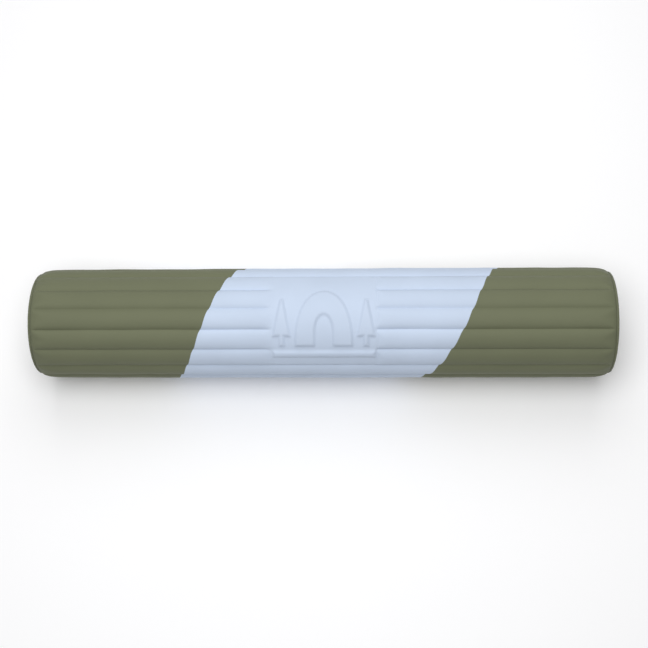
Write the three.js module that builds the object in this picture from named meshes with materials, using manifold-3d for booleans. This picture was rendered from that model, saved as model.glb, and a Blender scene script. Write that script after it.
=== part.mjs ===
// A ribbed bolster camp pillow, 500 mm long and 96 mm across, lying on a flat surface.
//
// A padded cover with sixteen pressed ribs is closed by two padded end discs, each edged with
// piping. A zip in the rear seam opens it. Inside are a foam sleeve and an air bladder, whose two-stage
// valve comes out through the right end disc.
//
// Millimetres. X runs along the pillow, -Y is its front, +Z is up. The origin is on the surface that
// the pillow lies on, under its middle. Angles round the pillow start at the top and grow towards the
// front, so that 90 is the front, 180 the underside and 270 the rear seam.

import * as THREE from "three";
import { mergeVertices } from "three/addons/utils/BufferGeometryUtils.js";
import Module from "manifold-3d";

const wasm = await Module();
wasm.setup();

// Clearances
const GAP = 0.3; // between pieces that lie against each other
const RUNNING_GAP = 0.4; // beside a piece that slides
const STATION_GAP = 0.8; // least distance between two rows of a cover panel's facets
const PINCH_STATION_GAP = 0.6; // and where the panel's end is pinched
const ROOT = 1; // how far an arm or a spoke runs into the piece that it stands on

// Cover
const BODY_LENGTH = 500; // over the piping at both ends
const CROWN_RADIUS = 48; // at the top of a rib
const CREASE_DEPTH = 1.5; // from the crown circle down to the crease between two ribs
const CREASE_WALL = 1.5; // the laminate where it's pressed thin
const RIB_COUNT = 16;
const SEGMENTS_PER_RIB = 4;
const END_PINCH_LENGTH = 11; // over which the ribs close down on the end seam
const END_PINCH_DEPTH = 2.2; // how far a crown drops there
const CREASE_PINCH_SHARE = 0.3; // of that drop, for a crease
const LINING_PINCH_SHARE = 0.6; // and for the cover's inner face
const GROUND_FLAT_DEPTH = 0.4; // how far the weight presses the lowest two ribs flat

// Slanted colour band: its two edges are helices
const BAND_LEFT = -98; // where each edge crosses the middle of the emblem
const BAND_RIGHT = 125;
const BAND_LEAD = 144; // how far an edge moves left in one whole turn

// Smooth emblem panel, pressed into the middle of the band
const EMBLEM_CENTRE = 4; // along X
const EMBLEM_LENGTH = 88;
const EMBLEM_FIRST_CREASE = -2; // counted round from the top, towards the front
const EMBLEM_LAST_CREASE = 3;
const EMBLEM_RECESS = 0.7; // below the crown circle
const EMBLEM_STEP = 0.4; // half the length of the slope at each end of it

// End discs and piping
const PIPING_RADIUS = 1.5;
const PIPING_DROP = 3.8; // from the crown circle to the middle of the piping
const DISC_THICKNESS = 3.2;
const DISC_DOME = 1.0; // how far the middle of a disc stands beyond its edge
const DISC_RECESS = 2.7; // from the piping's outer face to the disc's edge

// Foam sleeve and bladder
const FOAM_THICKNESS = 8;
const FOAM_CHAMFER = 3;
const FOAM_SEAM_GAP = 11; // left open along the zip
const FOAM_TO_DISC = 3;
const BLADDER_WALL = 0.6;

// Valve
const VALVE_BORE_RADIUS = 12.5;
const VALVE_WALL = 3.5;
const VALVE_FLANGE_WIDTH = 8;
const VALVE_FLANGE_THICKNESS = 0.8;
const SURROUND_WIDTH = 4.2;
const SURROUND_THICKNESS = 0.8;
const STRAP_THICKNESS = 0.6;
const PLUG_FLANGE_THICKNESS = 1.4;
const PLUG_SKIRT_DEPTH = 5.8;
const PLUG_TAPER = 0.8;
const INLET_BORE_RADIUS = 7;
const CAP_FLANGE_RADIUS = 9.5;
const CAP_FLANGE_THICKNESS = 1.2;
const CAP_STOPPER_DEPTH = 3.6;
const CAP_TAPER = 0.6;
const FINGER_TAB_LENGTH = 4;
const LID_HINGE_OFFSET = 2.6; // from the plug's edge to its hinge line
const LID_HINGE_WIDTH = 8;
const CAP_HINGE_OFFSET = 3.1;
const CAP_HINGE_WIDTH = 5;
const LUG_LENGTH = 3;
const SPIDER_THICKNESS = 1.2;
const SPOKE_WIDTH = 1.6;
const FLAP_THICKNESS = 0.6;
const SEAL_RADIUS = 0.4;
const SEAL_DEPTH = 1.6; // below the plug's flange

// Zip
const ZIP_END_MARGIN = 60; // from each end of the pillow to the zip
const TAPE_WIDTH = 11;
const TAPE_THICKNESS = 0.6;
const TOOTH_ROW_WIDTH = 2.2;
const TOOTH_ROW_HEIGHT = 1.2;
const CHAIN_GAP = 0.8; // from the middle of the zip to each row
const SLIDER_LENGTH = 9;
const SLIDER_PLATE = 0.9;
const SLIDER_WALL = 0.6;
const NECK_LENGTH = 2.5;
const STOP_LENGTH = 1.8;
const BRIDGE_HEIGHT = 2.4;
const BRIDGE_WIDTH = 1.6;
const BRIDGE_THICKNESS = 0.8;
const PULL_LENGTH = 23;
const PULL_WIDTH = 6;
const PULL_THICKNESS = 1;
const PULL_EYE_LENGTH = 4.5;
const PULL_EYE_WIDTH = 3.4;

// Worked out from the sizes above
const TURN = Math.PI * 2;
const RIB_ANGLE = TURN / RIB_COUNT;
const CREASE_RADIUS = CROWN_RADIUS - CREASE_DEPTH;
const COVER_INNER_RADIUS = CREASE_RADIUS - CREASE_WALL;
// Each rib is a round arc through its crown and its two creases.
const RIB_ARC_CENTRE =
  (CROWN_RADIUS ** 2 - CREASE_RADIUS ** 2) /
  (2 * (CROWN_RADIUS - CREASE_RADIUS * Math.cos(RIB_ANGLE / 2)));
const RIB_ARC_RADIUS = CROWN_RADIUS - RIB_ARC_CENTRE;
const AXIS_HEIGHT = RIB_ARC_CENTRE * Math.cos(RIB_ANGLE / 2) + RIB_ARC_RADIUS - GROUND_FLAT_DEPTH;
const SEAM_ANGLE = -TURN / 4; // the rear seam, where the panels start and end
const PIPING_RING_RADIUS = CROWN_RADIUS - PIPING_DROP;
const PIPING_X = BODY_LENGTH / 2 - PIPING_RADIUS;
const PANEL_END = PIPING_X - PIPING_RADIUS - GAP;
const DISC_RADIUS = PIPING_RING_RADIUS - PIPING_RADIUS;
const DISC_EDGE_X = BODY_LENGTH / 2 - DISC_RECESS;
const DISC_INNER_X = DISC_EDGE_X - DISC_THICKNESS;
const ZIP_LENGTH = BODY_LENGTH - ZIP_END_MARGIN * 2;

const group = new THREE.Group();
group.name = "camp_pillow";

function material(colour, roughness, metalness = 0) {
  return new THREE.MeshStandardMaterial({ color: colour, roughness, metalness });
}

const olive = material(0x75795a, 0.8);
const blue = material(0xc3d6f0, 0.8);
const oliveEdge = material(0x5f6347, 0.75);
const foamCream = material(0xe9e2c8, 0.95);
const bladderGrey = material(0x9aa09a, 0.5);
const valveGrey = material(0x3d4038, 0.5);
const sealBlack = material(0x1d1f1d, 0.6);
const flapClear = material(0xcfd6d4, 0.35);
const tapeOlive = material(0x55593f, 0.85);
const coilOlive = material(0x4a4d38, 0.5);
const sliderMetal = material(0x44463a, 0.4, 0.6);

function addPart(name, geometry, finish) {
  const mesh = new THREE.Mesh(geometry, finish);
  mesh.name = name;
  group.add(mesh);
  return mesh;
}

// Booleans -------------------------------------------------------------------------------------

function toSolid(geometry) {
  const bare = geometry.index ? geometry.toNonIndexed() : geometry.clone();
  bare.deleteAttribute("normal");
  bare.deleteAttribute("uv");
  const merged = mergeVertices(bare, 1e-3);
  return new wasm.Manifold(
    new wasm.Mesh({
      numProp: 3,
      vertProperties: merged.attributes.position.array,
      triVerts: new Uint32Array(merged.index.array),
    }),
  );
}

function toGeometry(solid) {
  const mesh = solid.getMesh();
  const geometry = new THREE.BufferGeometry();
  geometry.setAttribute("position", new THREE.BufferAttribute(mesh.vertProperties, 3));
  geometry.setIndex(new THREE.BufferAttribute(mesh.triVerts, 1));
  return geometry;
}

function join(...geometries) {
  return toGeometry(geometries.map(toSolid).reduce((whole, piece) => whole.add(piece)));
}

function cut(geometry, ...cutters) {
  return toGeometry(cutters.map(toSolid).reduce((whole, piece) => whole.subtract(piece), toSolid(geometry)));
}

// Basic shapes ---------------------------------------------------------------------------------

// A box between two corners, given as [x, y, z].
function boxBetween(low, high) {
  const size = high.map((value, i) => value - low[i]);
  const geometry = new THREE.BoxGeometry(...size);
  return geometry.translate(...low.map((value, i) => value + size[i] / 2));
}

// An outline of [radius, x] points, turned round the pillow's axis. It starts and ends on the axis,
// or else it closes on itself.
function turned(outline, segments = 48) {
  const points = outline.map(([radius, x]) => new THREE.Vector2(radius, x));
  if (outline[0][0] > 0) points.push(points[0].clone());
  const geometry = new THREE.LatheGeometry(points, segments);
  return geometry.rotateZ(-TURN / 4).translate(0, 0, AXIS_HEIGHT);
}

function ring(innerRadius, outerRadius, xLow, xHigh) {
  return turned([
    [innerRadius, xLow],
    [outerRadius, xLow],
    [outerRadius, xHigh],
    [innerRadius, xHigh],
  ]);
}

function disc(radius, xLow, xHigh) {
  return turned([
    [0, xLow],
    [radius, xLow],
    [radius, xHigh],
    [0, xHigh],
  ]);
}

// A round ring about the pillow's axis.
function roundRing(ringRadius, radius, x, sides, segments) {
  const geometry = new THREE.TorusGeometry(ringRadius, radius, sides, segments);
  return geometry.rotateY(TURN / 4).translate(x, 0, AXIS_HEIGHT);
}

// A sheet wrapped round the pillow: a flat slab is bent so that its width runs along X, its height
// runs round, and its depth goes through the wall. alongX gives where each station lies at an angle.
function wrapped({ angles, steps, stations, alongX, innerRadius, outerRadius }) {
  const geometry = new THREE.BoxGeometry(1, 1, 1, stations.length - 1, steps, 1);
  const position = geometry.attributes.position;
  for (let i = 0; i < position.count; i++) {
    const station = Math.round((position.getX(i) + 0.5) * (stations.length - 1));
    const around = 0.5 - position.getY(i);
    const angle = THREE.MathUtils.lerp(angles[0], angles[1], around);
    const x = alongX(angle, stations[station]);
    const radius = position.getZ(i) > 0 ? outerRadius(angle, x) : innerRadius(angle, x);
    const height = AXIS_HEIGHT + radius * Math.cos(angle);
    position.setXYZ(i, x, -radius * Math.sin(angle), Math.max(height, 0));
  }
  return geometry;
}

// Cover ----------------------------------------------------------------------------------------

// The crown radius of the cover at a distance along X, lower where the ends are pinched.
function endDrop(x) {
  const into = Math.max(0, Math.abs(x) - (PANEL_END - END_PINCH_LENGTH)) / END_PINCH_LENGTH;
  return END_PINCH_DEPTH * (1 - Math.sqrt(Math.max(0, 1 - into * into)));
}

function ribRadius(angle) {
  const fromCrown = ((angle / RIB_ANGLE) % 1 + 1) % 1 - 0.5;
  const side = RIB_ARC_CENTRE * Math.sin(fromCrown * RIB_ANGLE);
  return RIB_ARC_CENTRE * Math.cos(fromCrown * RIB_ANGLE) + Math.sqrt(RIB_ARC_RADIUS ** 2 - side ** 2);
}

function coverOuter(angle, x) {
  if (inEmblem(angle, x)) return CROWN_RADIUS - EMBLEM_RECESS;
  const drop = endDrop(x);
  return Math.min(ribRadius(angle) - drop * CREASE_PINCH_SHARE, CROWN_RADIUS - drop);
}

function coverInner(angle, x) {
  return COVER_INNER_RADIUS - endDrop(x) * LINING_PINCH_SHARE;
}

// Where an edge of the colour band lies at an angle.
function bandEdge(start, angle) {
  const emblemMiddle = ((EMBLEM_FIRST_CREASE + EMBLEM_LAST_CREASE) / 2) * RIB_ANGLE;
  return start - (BAND_LEAD * (angle - emblemMiddle)) / TURN;
}

// A cover panel starts and ends at the rear seam. Each station is a function of the angle.
function coverPanel(stations) {
  const seamHalf = GAP / 2 / COVER_INNER_RADIUS;
  return wrapped({
    angles: [SEAM_ANGLE + seamHalf, SEAM_ANGLE + TURN - seamHalf],
    steps: RIB_COUNT * SEGMENTS_PER_RIB,
    stations,
    alongX: (angle, station) => station(angle),
    innerRadius: coverInner,
    outerRadius: coverOuter,
  });
}

// Stations close together where an end is pinched, from that end inwards. They stay in order between
// the end and the edge of the colour band, which comes near them at the rear seam.
function pinchStations(side, bandStart) {
  const shares = [0, 0.06, 0.25, 0.55, 1];
  return shares.map((share, i) => (angle) => {
    const limit = side * bandEdge(bandStart, angle) + (shares.length - i) * PINCH_STATION_GAP;
    return side * Math.max(PANEL_END - share * END_PINCH_LENGTH, limit);
  });
}

// The slot that the zip lies in, through every panel.
const SLIDER_HALF_WIDTH = CHAIN_GAP + TOOTH_ROW_WIDTH + GAP + SLIDER_WALL;
const SLOT_HALF_WIDTH = SLIDER_HALF_WIDTH + GAP;

function zipSlot() {
  return boxBetween(
    [-ZIP_LENGTH / 2 - STOP_LENGTH - GAP, COVER_INNER_RADIUS / 2, AXIS_HEIGHT - SLOT_HALF_WIDTH],
    [ZIP_LENGTH / 2 + STOP_LENGTH + GAP, CROWN_RADIUS * 2, AXIS_HEIGHT + SLOT_HALF_WIDTH],
  );
}

// Where the emblem is, the creases are filled and the crowns are pressed down to one smooth face.
function inEmblem(angle, x) {
  const ribs = angle / RIB_ANGLE;
  const margin = 1 / SEGMENTS_PER_RIB / 2;
  const across = ribs > EMBLEM_FIRST_CREASE + margin && ribs < EMBLEM_LAST_CREASE - margin;
  return across && Math.abs(x - EMBLEM_CENTRE) < EMBLEM_LENGTH / 2;
}

// Stations on both sides of the emblem's two ends. Behind the pillow, where the slanted band has moved
// left of the emblem, they stay in order ahead of the band's right edge.
function emblemStations() {
  const half = EMBLEM_LENGTH / 2;
  const places = [-half - EMBLEM_STEP, -half + EMBLEM_STEP, half - EMBLEM_STEP, half + EMBLEM_STEP];
  return places.map((place, i) => (angle) => {
    const limit = bandEdge(BAND_RIGHT, angle) - (places.length - i) * STATION_GAP;
    return Math.min(EMBLEM_CENTRE + place, limit);
  });
}

function addCover() {
  const edge = (start, shift) => (angle) => bandEdge(start, angle) + shift;
  const left = coverPanel([...pinchStations(-1, BAND_LEFT), edge(BAND_LEFT, -GAP / 2)]);
  const centre = coverPanel([edge(BAND_LEFT, GAP / 2), ...emblemStations(), edge(BAND_RIGHT, -GAP / 2)]);
  const right = coverPanel([edge(BAND_RIGHT, GAP / 2), ...pinchStations(1, BAND_RIGHT).reverse()]);
  addPart("cover_left_panel", cut(left, zipSlot()), olive);
  addPart("cover_centre_panel", cut(centre, zipSlot()), blue);
  addPart("cover_right_panel", cut(right, zipSlot()), olive);
}

// The plug's flange covers the collar of the valve base, which comes through the right end disc.
const COLLAR_RADIUS = VALVE_BORE_RADIUS + VALVE_WALL;
const DISC_HOLE_RADIUS = COLLAR_RADIUS + 1;

function discRise(radius) {
  return DISC_DOME * (1 - (radius / DISC_RADIUS) ** 2);
}

// A padded disc, slightly domed, with a round hole or, for a radius of 0, with none.
function endDisc(side, holeRadius) {
  const radii = [1, 2 / 3, 1 / 3, 0].map((share) => THREE.MathUtils.lerp(holeRadius, DISC_RADIUS, share));
  const outer = radii.map((radius) => [radius, DISC_EDGE_X + discRise(radius)]);
  const inner = radii.map((radius) => [radius, DISC_INNER_X + discRise(radius) / 2]).reverse();
  const outline = [...inner, ...outer];
  if (side > 0) return turned(outline);
  return turned(outline.map(([radius, x]) => [radius, -x]).reverse());
}

function addEnds() {
  addPart("left_end_disc", endDisc(-1, 0), olive);
  addPart("right_end_disc", endDisc(1, DISC_HOLE_RADIUS), olive);
  for (const [name, side] of [["left_piping", -1], ["right_piping", 1]]) {
    addPart(name, roundRing(PIPING_RING_RADIUS, PIPING_RADIUS, side * PIPING_X, 8, 48), oliveEdge);
  }
}

// Foam sleeve and bladder ----------------------------------------------------------------------

const TAPE_OUTER_RADIUS = COVER_INNER_RADIUS - GAP;
const TAPE_INNER_RADIUS = TAPE_OUTER_RADIUS - TAPE_THICKNESS;
const FOAM_OUTER_RADIUS = TAPE_INNER_RADIUS - GAP;
const FOAM_INNER_RADIUS = FOAM_OUTER_RADIUS - FOAM_THICKNESS;
const FOAM_END = DISC_INNER_X - FOAM_TO_DISC;
const BLADDER_RADIUS = FOAM_INNER_RADIUS - GAP;
const VALVE_FLANGE_X = DISC_INNER_X - RUNNING_GAP - VALVE_FLANGE_THICKNESS;
const BLADDER_END_X = VALVE_FLANGE_X - GAP; // outer face of the bladder's end film

function addFoam() {
  const seamHalf = FOAM_SEAM_GAP / 2 / FOAM_INNER_RADIUS;
  const chamferFrom = FOAM_END - FOAM_CHAMFER;
  const sleeve = wrapped({
    angles: [SEAM_ANGLE + seamHalf, SEAM_ANGLE + TURN - seamHalf],
    steps: 48,
    stations: [-FOAM_END, -chamferFrom, chamferFrom, FOAM_END],
    alongX: (angle, station) => station,
    innerRadius: () => FOAM_INNER_RADIUS,
    outerRadius: (angle, x) => FOAM_OUTER_RADIUS - Math.max(0, Math.abs(x) - chamferFrom) / 2,
  });
  addPart("foam_sleeve", sleeve, foamCream);
}

function addBladder() {
  const filmInner = BLADDER_END_X - BLADDER_WALL;
  const tubeEnd = filmInner - GAP;
  const tube = ring(BLADDER_RADIUS - BLADDER_WALL, BLADDER_RADIUS, -tubeEnd, tubeEnd);
  const rightEnd = ring(VALVE_BORE_RADIUS, BLADDER_RADIUS, filmInner, BLADDER_END_X);
  addPart("bladder_tube", tube, bladderGrey);
  addPart("bladder_left_end", disc(BLADDER_RADIUS, -BLADDER_END_X, -filmInner), bladderGrey);
  addPart("bladder_right_end", rightEnd, bladderGrey);
}

// Valve ----------------------------------------------------------------------------------------
// It lies on the pillow's axis in the right end. The plug opens the wide bore to let the air out.
// The cap opens the small inlet in the plug, and the flap behind it holds the air in.

const SURROUND_X = DISC_EDGE_X + discRise(DISC_HOLE_RADIUS) + GAP;
const STRAP_X = SURROUND_X + SURROUND_THICKNESS + GAP;
const COLLAR_TOP = STRAP_X + STRAP_THICKNESS;
const PLUG_BASE_X = COLLAR_TOP + GAP; // underside of the plug's flange
const PLUG_TOP_X = PLUG_BASE_X + PLUG_FLANGE_THICKNESS;
const LID_HINGE_Y = COLLAR_RADIUS + LID_HINGE_OFFSET;
const CAP_BASE_X = PLUG_TOP_X + GAP;
const CAP_TOP_X = CAP_BASE_X + CAP_FLANGE_THICKNESS;
const CAP_HINGE_Y = -(CAP_FLANGE_RADIUS + CAP_HINGE_OFFSET);
const PLUG_SKIRT_END = PLUG_BASE_X - PLUG_SKIRT_DEPTH;
const SPIDER_X = PLUG_SKIRT_END + 1;

// A block beside the valve, reaching from one Y to the other.
function tab(yFrom, yTo, width, xLow, xHigh) {
  return boxBetween(
    [xLow, Math.min(yFrom, yTo), AXIS_HEIGHT - width / 2],
    [xHigh, Math.max(yFrom, yTo), AXIS_HEIGHT + width / 2],
  );
}

function addValveBase() {
  const flangeRadius = COLLAR_RADIUS + VALVE_FLANGE_WIDTH;
  const flangeTop = VALVE_FLANGE_X + VALVE_FLANGE_THICKNESS;
  const body = turned([
    [VALVE_BORE_RADIUS, VALVE_FLANGE_X],
    [flangeRadius, VALVE_FLANGE_X],
    [flangeRadius, flangeTop],
    [COLLAR_RADIUS, flangeTop],
    [COLLAR_RADIUS, COLLAR_TOP],
    [VALVE_BORE_RADIUS, COLLAR_TOP],
  ]);
  const lugEnd = LID_HINGE_Y + GAP + LUG_LENGTH;
  const strap = tab(COLLAR_RADIUS - ROOT, lugEnd, LID_HINGE_WIDTH, STRAP_X, COLLAR_TOP);
  const lug = tab(LID_HINGE_Y + GAP, lugEnd, LID_HINGE_WIDTH, STRAP_X, PLUG_TOP_X - GAP / 2);
  addPart("valve_base", join(body, strap, lug), valveGrey);
  const surroundRadii = [DISC_HOLE_RADIUS + GAP, DISC_HOLE_RADIUS + SURROUND_WIDTH];
  addPart("valve_surround", ring(...surroundRadii, SURROUND_X, SURROUND_X + SURROUND_THICKNESS), oliveEdge);
}

function addValvePlug() {
  const skirtTop = VALVE_BORE_RADIUS - RUNNING_GAP;
  const skirtEnd = skirtTop - PLUG_TAPER;
  const bore = INLET_BORE_RADIUS;
  const sealX = PLUG_BASE_X - SEAL_DEPTH;
  const grooveLow = sealX - SEAL_RADIUS - GAP;
  const grooveHigh = sealX + SEAL_RADIUS + GAP;
  const grooveRadius = skirtTop - SEAL_RADIUS * 2 - GAP / 2;
  const body = turned([
    [bore, PLUG_SKIRT_END],
    [skirtEnd, PLUG_SKIRT_END],
    [skirtTop, grooveLow - SEAL_RADIUS],
    [skirtTop, grooveLow],
    [grooveRadius, grooveLow],
    [grooveRadius, grooveHigh],
    [skirtTop, grooveHigh],
    [skirtTop, PLUG_BASE_X],
    [COLLAR_RADIUS, PLUG_BASE_X],
    [COLLAR_RADIUS, PLUG_TOP_X],
    [bore, PLUG_TOP_X],
  ]);
  const spokes = [0, 1, 2].map((i) => {
    const spoke = new THREE.BoxGeometry(SPIDER_THICKNESS, (bore + ROOT / 2) * 2, SPOKE_WIDTH);
    return spoke.rotateX((TURN * i) / 6).translate(SPIDER_X + SPIDER_THICKNESS / 2, 0, AXIS_HEIGHT);
  });
  const arm = tab(COLLAR_RADIUS - ROOT, LID_HINGE_Y - GAP, LID_HINGE_WIDTH - 1, PLUG_BASE_X, PLUG_TOP_X);
  const capLug = tab(CAP_HINGE_Y - GAP, -COLLAR_RADIUS, CAP_HINGE_WIDTH, PLUG_BASE_X, CAP_TOP_X - GAP / 2);
  addPart("valve_plug", join(body, ...spokes, arm, capLug), valveGrey);
  const sealRing = grooveRadius + SEAL_RADIUS + GAP / 2;
  addPart("valve_plug_seal", roundRing(sealRing, SEAL_RADIUS, sealX, 8, 40), sealBlack);
}

function addValveFlap() {
  const radius = INLET_BORE_RADIUS - RUNNING_GAP;
  const face = SPIDER_X - GAP;
  addPart("valve_flap", disc(radius, face - FLAP_THICKNESS, face), flapClear);
}

function addValveCap() {
  const stopperTop = INLET_BORE_RADIUS - GAP;
  const stopperEnd = stopperTop - CAP_TAPER;
  const end = CAP_BASE_X - CAP_STOPPER_DEPTH;
  const body = turned([
    [0, end],
    [stopperEnd, end],
    [stopperTop, CAP_BASE_X],
    [CAP_FLANGE_RADIUS, CAP_BASE_X],
    [CAP_FLANGE_RADIUS, CAP_TOP_X],
    [0, CAP_TOP_X],
  ]);
  const root = CAP_FLANGE_RADIUS - ROOT;
  const arm = tab(-root, CAP_HINGE_Y + GAP, CAP_HINGE_WIDTH - 1, CAP_BASE_X, CAP_TOP_X);
  const finger = tab(root, CAP_FLANGE_RADIUS + FINGER_TAB_LENGTH, CAP_HINGE_WIDTH, CAP_BASE_X, CAP_TOP_X);
  addPart("valve_cap", join(body, arm, finger), valveGrey);
}

// Zip ------------------------------------------------------------------------------------------
// It lies in the rear seam, facing +Y, and closes towards +X.

const ROW_BASE_Y = TAPE_OUTER_RADIUS + GAP;
const ROW_TOP_Y = ROW_BASE_Y + TOOTH_ROW_HEIGHT;
const SLIDER_TOP_Y = ROW_TOP_Y + GAP + SLIDER_PLATE;
const TOP_STOP_X = ZIP_LENGTH / 2;
const SLIDER_FRONT_X = TOP_STOP_X - GAP;
const SLIDER_BACK_X = SLIDER_FRONT_X - SLIDER_LENGTH;
const PULL_PIVOT_Y = SLIDER_TOP_Y + GAP + PULL_THICKNESS / 2;
const PULL_PIVOT_X = SLIDER_FRONT_X - BRIDGE_THICKNESS - GAP * 2 - PULL_THICKNESS;

// A length of the zip, from side to side in Z and from one Y to the other.
function zipBlock(xLow, xHigh, yLow, yHigh, sideLow, sideHigh) {
  return boxBetween([xLow, yLow, AXIS_HEIGHT + sideLow], [xHigh, yHigh, AXIS_HEIGHT + sideHigh]);
}

function addZipTapes() {
  const edge = CHAIN_GAP + 0.1;
  for (const [name, side] of [["zip_tape_upper", 1], ["zip_tape_lower", -1]]) {
    const near = side * (edge / TAPE_OUTER_RADIUS);
    const far = side * ((edge + TAPE_WIDTH) / TAPE_OUTER_RADIUS);
    const tape = wrapped({
      angles: [SEAM_ANGLE + Math.min(near, far), SEAM_ANGLE + Math.max(near, far)],
      steps: 4,
      stations: [-1, 1],
      alongX: (angle, share) => share * (ZIP_LENGTH / 2 + STOP_LENGTH * 4),
      innerRadius: () => TAPE_INNER_RADIUS,
      outerRadius: () => TAPE_OUTER_RADIUS,
    });
    addPart(name, tape, tapeOlive);
  }
}

function addZipRows() {
  const end = TOP_STOP_X - GAP;
  for (const [name, side] of [["zip_row_upper", 1], ["zip_row_lower", -1]]) {
    const near = side * CHAIN_GAP;
    const far = side * (CHAIN_GAP + TOOTH_ROW_WIDTH);
    const row = zipBlock(-end, end, ROW_BASE_Y, ROW_TOP_Y, Math.min(near, far), Math.max(near, far));
    addPart(name, row, coilOlive);
  }
  const half = CHAIN_GAP + TOOTH_ROW_WIDTH;
  for (const [name, x] of [["zip_top_stop", TOP_STOP_X], ["zip_bottom_stop", -TOP_STOP_X - STOP_LENGTH]]) {
    addPart(name, zipBlock(x, x + STOP_LENGTH, ROW_BASE_Y, ROW_TOP_Y, -half, half), sliderMetal);
  }
}

function addZipSlider() {
  const half = SLIDER_HALF_WIDTH;
  const top = zipBlock(SLIDER_BACK_X, SLIDER_FRONT_X, SLIDER_TOP_Y - SLIDER_PLATE, SLIDER_TOP_Y, -half, half);
  const walls = [1, -1].map((side) => {
    const near = side * (half - SLIDER_WALL);
    const far = side * half;
    const low = Math.min(near, far);
    return zipBlock(SLIDER_BACK_X, SLIDER_FRONT_X, ROW_BASE_Y, SLIDER_TOP_Y, low, low + SLIDER_WALL);
  });
  const bottomTop = TAPE_INNER_RADIUS - RUNNING_GAP;
  const bottomHalf = half - SLIDER_WALL;
  const bottomLow = bottomTop - SLIDER_PLATE;
  const bottom = zipBlock(SLIDER_BACK_X, SLIDER_FRONT_X, bottomLow, bottomTop, -bottomHalf, bottomHalf);
  const neckHalf = CHAIN_GAP - RUNNING_GAP;
  const neckFrom = SLIDER_FRONT_X - NECK_LENGTH;
  const neck = zipBlock(neckFrom, SLIDER_FRONT_X, bottomLow, SLIDER_TOP_Y, -neckHalf, neckHalf);
  const legHalf = BRIDGE_WIDTH / 2;
  const bridgeTop = SLIDER_TOP_Y + BRIDGE_HEIGHT;
  const backLegX = PULL_PIVOT_X - PULL_EYE_LENGTH + GAP;
  const frontLegX = SLIDER_FRONT_X - BRIDGE_THICKNESS;
  const legs = [backLegX, frontLegX].map((x) =>
    zipBlock(x, x + BRIDGE_THICKNESS, SLIDER_TOP_Y - GAP, bridgeTop, -legHalf, legHalf),
  );
  const beamLow = bridgeTop - BRIDGE_THICKNESS;
  const beam = zipBlock(backLegX, SLIDER_FRONT_X, beamLow, bridgeTop, -legHalf, legHalf);
  addPart("zip_slider", join(top, ...walls, bottom, neck, ...legs, beam), sliderMetal);
}

function addZipPull() {
  const outline = new THREE.Shape();
  const half = PULL_WIDTH / 2;
  const barHalf = PULL_THICKNESS / 2;
  const far = -PULL_LENGTH + half;
  outline.moveTo(barHalf, -half);
  outline.lineTo(barHalf, half);
  outline.lineTo(far, half);
  outline.absarc(far, 0, half, TURN / 4, (TURN * 3) / 4, false);
  outline.closePath();
  const eyeHalf = PULL_EYE_WIDTH / 2;
  const eye = new THREE.Path();
  eye.moveTo(-barHalf, -eyeHalf);
  eye.lineTo(-barHalf - PULL_EYE_LENGTH, -eyeHalf);
  eye.lineTo(-barHalf - PULL_EYE_LENGTH, eyeHalf);
  eye.lineTo(-barHalf, eyeHalf);
  eye.closePath();
  outline.holes.push(eye);
  const plate = new THREE.ExtrudeGeometry(outline, {
    depth: PULL_THICKNESS,
    bevelEnabled: false,
    curveSegments: 8,
  });
  plate.rotateX(TURN / 4).translate(PULL_PIVOT_X, PULL_PIVOT_Y + PULL_THICKNESS / 2, AXIS_HEIGHT);
  addPart("zip_pull", plate, oliveEdge);
}

addCover();
addEnds();
addFoam();
addBladder();
addValveBase();
addValvePlug();
addValveFlap();
addValveCap();
addZipTapes();
addZipRows();
addZipSlider();
addZipPull();

export default group;
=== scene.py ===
"""A ribbed bolster camp pillow: padded cover, end discs, piping, valve, zip, foam and bladder."""

import math
from contextlib import contextmanager
from functools import partial
from types import SimpleNamespace

import bmesh
import bpy
import numpy as np
from bpy.props import FloatProperty, FloatVectorProperty, IntProperty, PointerProperty
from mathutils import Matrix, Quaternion, Vector


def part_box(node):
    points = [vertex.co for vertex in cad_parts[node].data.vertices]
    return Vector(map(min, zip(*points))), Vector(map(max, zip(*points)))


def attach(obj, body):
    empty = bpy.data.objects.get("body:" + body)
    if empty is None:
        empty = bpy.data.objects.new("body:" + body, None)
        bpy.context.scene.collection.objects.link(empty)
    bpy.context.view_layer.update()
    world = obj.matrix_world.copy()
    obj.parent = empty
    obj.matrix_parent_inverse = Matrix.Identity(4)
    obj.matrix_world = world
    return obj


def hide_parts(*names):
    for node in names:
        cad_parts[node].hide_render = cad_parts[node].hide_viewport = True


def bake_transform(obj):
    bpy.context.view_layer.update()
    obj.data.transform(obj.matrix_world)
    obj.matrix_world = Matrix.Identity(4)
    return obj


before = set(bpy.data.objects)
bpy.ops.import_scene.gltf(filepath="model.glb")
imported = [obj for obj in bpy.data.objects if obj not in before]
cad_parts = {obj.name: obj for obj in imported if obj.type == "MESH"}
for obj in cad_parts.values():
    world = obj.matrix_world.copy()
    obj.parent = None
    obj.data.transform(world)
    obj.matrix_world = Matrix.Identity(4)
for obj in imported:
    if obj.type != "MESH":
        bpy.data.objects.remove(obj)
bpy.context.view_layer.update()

bl_info = {
    "name": "Ribbed camp pillow",
    "version": (1, 0, 0),
    "blender": (4, 5, 0),
    "location": "3D View > Sidebar > Pillow",
    "description": "Makes a ribbed bolster camp pillow with its valve and zip",
    "category": "Add Mesh",
}

MM = 0.001
TURN = 2 * math.pi
ALONG_X = (0, TURN / 4, 0)  # turns a primitive's upright axis along the pillow

Length = partial(FloatProperty, unit="LENGTH")
Angle = partial(FloatProperty, subtype="ANGLE")
Colour = partial(FloatVectorProperty, subtype="COLOR", size=3)


# Places that come from the frame


def low(node):
    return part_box(node)[0]


def high(node):
    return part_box(node)[1]


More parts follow.
